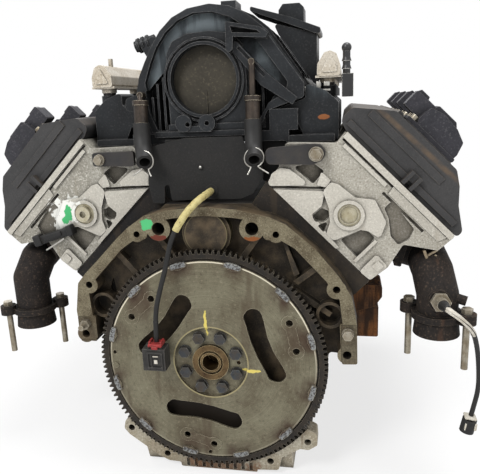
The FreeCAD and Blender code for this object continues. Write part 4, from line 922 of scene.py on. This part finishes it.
# the intake's pale edges are painted highlight
finish(["intake_plenum", "intake_manifold", "map_sensor", "purge_canister"], "intakePlastic", {
    "base": (24, 25, 27), "second": (38, 41, 44), "patchScale": 12, "rough": 0.34,
    "roughSecond": 0.46, "specular": 0.22, "fleck": (12, 12, 13), "fleckLight": (84, 84, 84),
    "fleckScale": 420, "fleckAmount": 0.3, "dirt": (5, 5, 6), "dirtReach": 0.03,
    "dirtAmount": 1.0, "edge": (150, 148, 146), "edgeWidth": 0.0013, "edgeAmount": 0.6,
    "bumpDepth": 0.0003}, intakeFaces)
finish(["plenum_end_disc"], "discOlive", {
    "base": (59, 54, 43), "second": (46, 42, 34), "patchScale": 16, "rough": 0.55,
    "fleck": (34, 31, 26), "fleckLight": (98, 90, 74), "fleckScale": 260, "fleckAmount": 0.4,
    "dirt": (16, 15, 12), "dirtAmount": 0.9, "grain": 1400, "bumpDepth": 0.0003})
finish(["rear_valley_shield"], "shieldBlack", {
    "base": (34, 34, 34), "second": (43, 42, 41), "patchScale": 20, "rough": 0.66,
    "specular": 0.2, "fleck": (22, 22, 22), "fleckLight": (68, 66, 62), "fleckScale": 520,
    "fleckAmount": 0.3, "edge": (88, 84, 78), "edgeAmount": 0.4, "grain": 1300, "bump": 0.25,
    "bumpDepth": 0.0004})
finish(["ignition_coils"], "coilPlastic", {
    "base": (54, 53, 59), "second": (40, 40, 45), "patchScale": 40, "rough": 0.44,
    "fleck": (26, 26, 29), "fleckLight": (104, 102, 104), "fleckScale": 360, "fleckAmount": 0.4,
    "dirt": (16, 16, 18), "dirtAmount": 0.9, "edge": (128, 124, 122), "edgeAmount": 0.65,
    "grain": 1600})
finish(["fuel_rails"], "railSteel", {
    "base": (204, 196, 182), "second": (176, 164, 144), "patchScale": 30, "rough": 0.36,
    "specular": 0.4, "fleck": (112, 100, 80), "fleckLight": (240, 236, 226), "fleckScale": 360,
    "dirt": (52, 44, 34), "dirtReach": 0.01, "dirtAmount": 0.9, "edge": (240, 236, 226),
    "edgeAmount": 0.8, "bump": 0.12}, railFaces)
finish(["heater_tubes"], "ferruleBronze", {
    "base": (74, 64, 56), "second": (46, 42, 38), "patchScale": 70, "metal": 0.5, "rough": 0.32,
    "fleck": (20, 17, 15), "dirt": (14, 12, 11), "dirtReach": 0.008, "edge": (214, 202, 178),
    "edgeAmount": 0.9, "bump": 0.1})
springSteel = finish(["timing_chain", "hose_clamps"], "springSteel", {
    "base": (196, 194, 188), "second": (150, 146, 138), "patchScale": 80, "metal": 0.8,
    "rough": 0.3, "bump": 0.1})
finish(["cover_and_bracket_bolts", "exhaust_studs", "oil_pan_bolts", "oxygen_sensors", "dipstick",
        "dipstick_tube"], "boltSteel", {
    "base": (164, 158, 144), "second": (122, 110, 90), "patchScale": 90, "metal": 0.6,
    "rough": 0.36, "fleck": (58, 46, 34), "fleckScale": 360, "dirt": (44, 35, 26),
    "dirtReach": 0.008, "dirtAmount": 0.9, "edge": (226, 220, 206), "edgeAmount": 0.8,
    "grain": 1300})
finish(["right_exhaust_manifold", "left_exhaust_manifold"], "exhaustIron", {
    "base": (29, 26, 25), "second": (44, 38, 34), "patchScale": 20, "rough": 0.72,
    "specular": 0.2, "fleck": (14, 12, 11), "fleckLight": (98, 82, 68), "fleckScale": 280,
    "stain": (74, 54, 42), "stainCover": 0.25, "dirt": (9, 8, 8), "dirtReach": 0.035,
    "dirtAmount": 0.95, "edge": (124, 110, 94), "edgeAmount": 0.6, "grain": 600, "bump": 0.7,
    "bumpDepth": 0.0012})
finish(["oil_pan"], "panCast", {
    "base": (168, 162, 146), "second": (138, 126, 104), "patchScale": 20, "metal": 0.25,
    "fleck": (84, 72, 54), "fleckLight": (216, 210, 196), "fleckScale": 380, "fleckCover": 0.55,
    "stain": (98, 78, 54), "stainCover": 0.4, "dirt": (30, 25, 19), "dirtAmount": 0.95,
    "edge": (216, 208, 192), "edgeAmount": 0.6, "grain": 700, "bump": 0.35,
    "bumpDepth": 0.0008}, panFaces)
finish(["timing_cover", "water_pump_housing", "throttle_body", "throttle_plate"], "frontCast", {
    "base": (172, 167, 156), "second": (142, 136, 122), "patchScale": 30, "metal": 0.3,
    "stain": (112, 98, 78), "stainCover": 0.3, "dirt": (54, 48, 40), "edge": (208, 202, 190),
    "edgeAmount": 0.5, "grain": 700, "bump": 0.35, "bumpDepth": 0.0008})
finish(["flexplate"], "flexSteel", {
    "base": (121, 117, 97), "second": (87, 79, 62), "patchScale": 15, "patchCover": 0.42,
    "patchSoft": 0.2, "metal": 0.3, "rough": 0.44, "roughSecond": 0.6, "fleck": (48, 37, 28),
    "fleckLight": (150, 142, 122), "fleckScale": 210, "fleckAmount": 0.42, "stain": (70, 56, 42),
    "stainScale": 30, "stainAmount": 0.5, "dirt": (34, 26, 19), "dirtReach": 0.007,
    "edge": (206, 196, 170), "grain": 600, "bump": 0.25, "bumpDepth": 0.0005}, flexFaces)
finish(["ring_gear", "crank_sprocket", "cam_sprocket"], "gearSteel", {
    "base": (34, 32, 30), "second": (56, 49, 41), "metal": 0.4, "rough": 0.42,
    "fleck": (14, 13, 12), "fleckScale": 420, "dirt": (10, 9, 8), "dirtReach": 0.006,
    "dirtAmount": 0.85, "edge": (168, 158, 138), "edgeWidth": 0.0007, "grain": 1300, "bump": 0.2,
    "bumpDepth": 0.0003})
finish(["crankshaft", "camshaft", "main_bearing_caps"], "shaftSteel", {
    "base": (116, 96, 66), "second": (70, 54, 38), "patchScale": 40, "metal": 0.75, "rough": 0.28,
    "fleck": (34, 24, 16), "fleckScale": 260, "fleckAmount": 0.6, "dirt": (20, 15, 11),
    "dirtReach": 0.014, "dirtAmount": 0.95, "edge": (226, 206, 160), "edgeAmount": 0.9,
    "grain": 1300, "bump": 0.12})
finish(["flexplate_bolts"], "darkBolt", {
    "base": (58, 64, 70), "second": (72, 64, 54), "patchScale": 90, "metal": 0.5, "rough": 0.38,
    "fleck": (24, 22, 20), "fleckScale": 360, "dirt": (20, 17, 14), "dirtReach": 0.01,
    "dirtAmount": 0.9, "edge": (152, 150, 142), "grain": 1300})
finish(["engine_mount_brackets"], "mountIron", {
    "base": (52, 44, 38), "second": (134, 86, 48), "patchScale": 20, "patchCover": 0.55,
    "rough": 0.7, "specular": 0.2, "fleck": (24, 19, 16), "fleckAmount": 0.6,
    "dirt": (18, 14, 12), "edge": (138, 106, 70), "grain": 500, "bump": 0.5,
    "bumpDepth": 0.001}, mountFaces)
finish([name for name in nodes if "_piston_" in name], "pistonAlloy", {
    "base": (186, 182, 174), "second": (160, 154, 144), "patchScale": 25, "metal": 0.6,
    "rough": 0.35, "grain": 1300, "bump": 0.1})
finish(["crank_damper", "water_pump_pulley", "oil_filter", "pipe_bracket_arms"], "pulleyIron", {
    "base": (48, 48, 50), "second": (66, 62, 58), "patchScale": 25, "metal": 0.3, "rough": 0.45,
    "dirt": (22, 20, 18), "edge": (120, 114, 104), "edgeAmount": 0.6, "grain": 1100, "bump": 0.2,
    "bumpDepth": 0.0003})
finish(["cam_core_plug"], "plugCup", {
    "base": (58, 55, 46), "second": (44, 41, 34), "patchScale": 40, "metal": 0.3, "rough": 0.42,
    "fleck": (24, 22, 18), "fleckAmount": 0.4, "dirt": (14, 12, 10), "dirtReach": 0.01,
    "dirtAmount": 0.9, "edge": (116, 108, 90), "edgeAmount": 0.5, "grain": 1300,
    "bump": 0.1}, plugFaces)
finish(["fuel_injectors"], "injectorOrange", {
    "base": (196, 116, 52), "second": (156, 84, 38), "patchScale": 80, "dirt": (30, 20, 14),
    "bump": 0.1}, injectorFaces)
finish(["head_plugs"], "plugBright", {
    "base": (196, 190, 168), "second": (168, 158, 130), "metal": 0.6, "rough": 0.26,
    "fleck": (110, 98, 72), "fleckAmount": 0.4, "dirt": (40, 35, 27), "dirtReach": 0.01,
    "dirtAmount": 0.95, "edge": (240, 236, 222), "edgeAmount": 0.9, "grain": 1300, "bump": 0.12})
dress(["heater_hoses", "gaskets", "sensor_lead_end"], rubberBlack)
dress(["harness_connector"], connectorGrey)
print("finishes on")


# small fittings that the solids leave out
clampWire = {"radius": 12.6, "wire": 1.05, "gap": 34, "steps": 24, "axis": (2.4, -16, -11),
             "firstTail": (19, 22), "lastTail": (-9, 21), "tailBack": 3,
             "rings": {"right": ((69.4, 21.6, 285.4), 1), "left": ((-81.2, 21.6, 285.4), -1)}}


def buildClamp(name, centre, side, settings):
    # an open wire ring round the hose end, its two tails crossed below
    lean, back, down = settings["axis"]
    along = Vector((lean * side, back, down)).normalized()
    across = Vector((1, 0, 0)) - along * along.x
    across.normalize()
    middle = Vector(centre)
    gap, steps = settings["gap"], settings["steps"]

    def tail(reach, drop):
        return middle + across * reach * side - Vector((0, settings["tailBack"], drop))
    places = [tail(*settings["firstTail"])]
    for step in range(steps + 1):
        angle = math.radians(-90 + gap / 2 + (360 - gap) * step / steps)
        places.append(middle + (across * math.cos(angle) * side + Vector((0, 0, 1))
                                * math.sin(angle)) * settings["radius"])
    places.append(tail(*settings["lastTail"]))
    return linkPiece(name, wireCurve(name, places, settings["wire"], 3), springSteel)


clampPieces = [buildClamp("hose_clamp_" + label, centre, side, clampWire)
               for label, (centre, side) in clampWire["rings"].items()]
for piece in clampPieces:
    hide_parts("hose_clamps")

tanPlastic = layeredFinish("tanPlastic", {
    "base": (166, 152, 128), "second": (124, 108, 86), "rough": 0.45, "fleck": (52, 42, 32),
    "fleckAmount": 0.6, "dirt": (28, 23, 19), "bump": 0.2, "bumpDepth": 0.0003})
tabYellow = layeredFinish("tabYellow", {
    "base": (206, 176, 62), "second": (176, 144, 48), "rough": 0.45, "dirt": (70, 54, 26),
    "bump": 0.12})
fittings = {
    "left_head_sender": (rubberBlack, [
        ((-243, 50, 173), (62, 12, 13), 3, -17), ((-270, 48, 166), (12, 16, 17), 2.5, -17),
        ((-216, 48, 182), (9, 15, 16), 2, -17), ((-244, 43, 174), (30, 4, 8), 1.5, -17)]),
    "left_head_sender_edge": (springSteel, [((-243, 46, 160), (36, 3, 2.6), 0.9, -30)]),
    "right_head_tab": (tanPlastic, [
        ((300, 44, 152), (17, 5, 3.4), 1.2, -34), ((292, 43, 150), (4, 7, 14), 1.5, -20),
        ((307, 44, 146), (4, 6, 10), 1.2, -50)]),
    "valley_foam": (rubberBlack, [
        ((92, 92, 275), (44, 12, 60), 3, 0), ((-92, 92, 275), (44, 12, 60), 3, 0),
        ((98, 300, 296), (34, 300, 12), 3, 0), ((-98, 300, 296), (34, 300, 12), 3, 0)]),
    "cover_tab": (tabYellow, [
        ((320, 96, 268), (7, 6, 14), 1.4, 40), ((316, 96, 262), (10, 8, 6), 1.4, 40)]),
    "right_injector_clips": (springSteel, [
        ((151, 79, 375), (6, 5, 9), 1, 0), ((162, 79, 376), (8, 5, 6), 1, 0),
        ((157, 78, 368), (20, 3, 3), 0.8, 0), ((135, 76, 370), (7, 5, 6), 1, 0)]),
    "right_shield_bolt": (springSteel, [((-10, 45, 272), (3.6, 3, 3.6), 0.9, 0)])}
for name, (material, blocks) in fittings.items():
    piece = blockCluster(name, blocks, material)
print("fittings on")


print("scene complete")
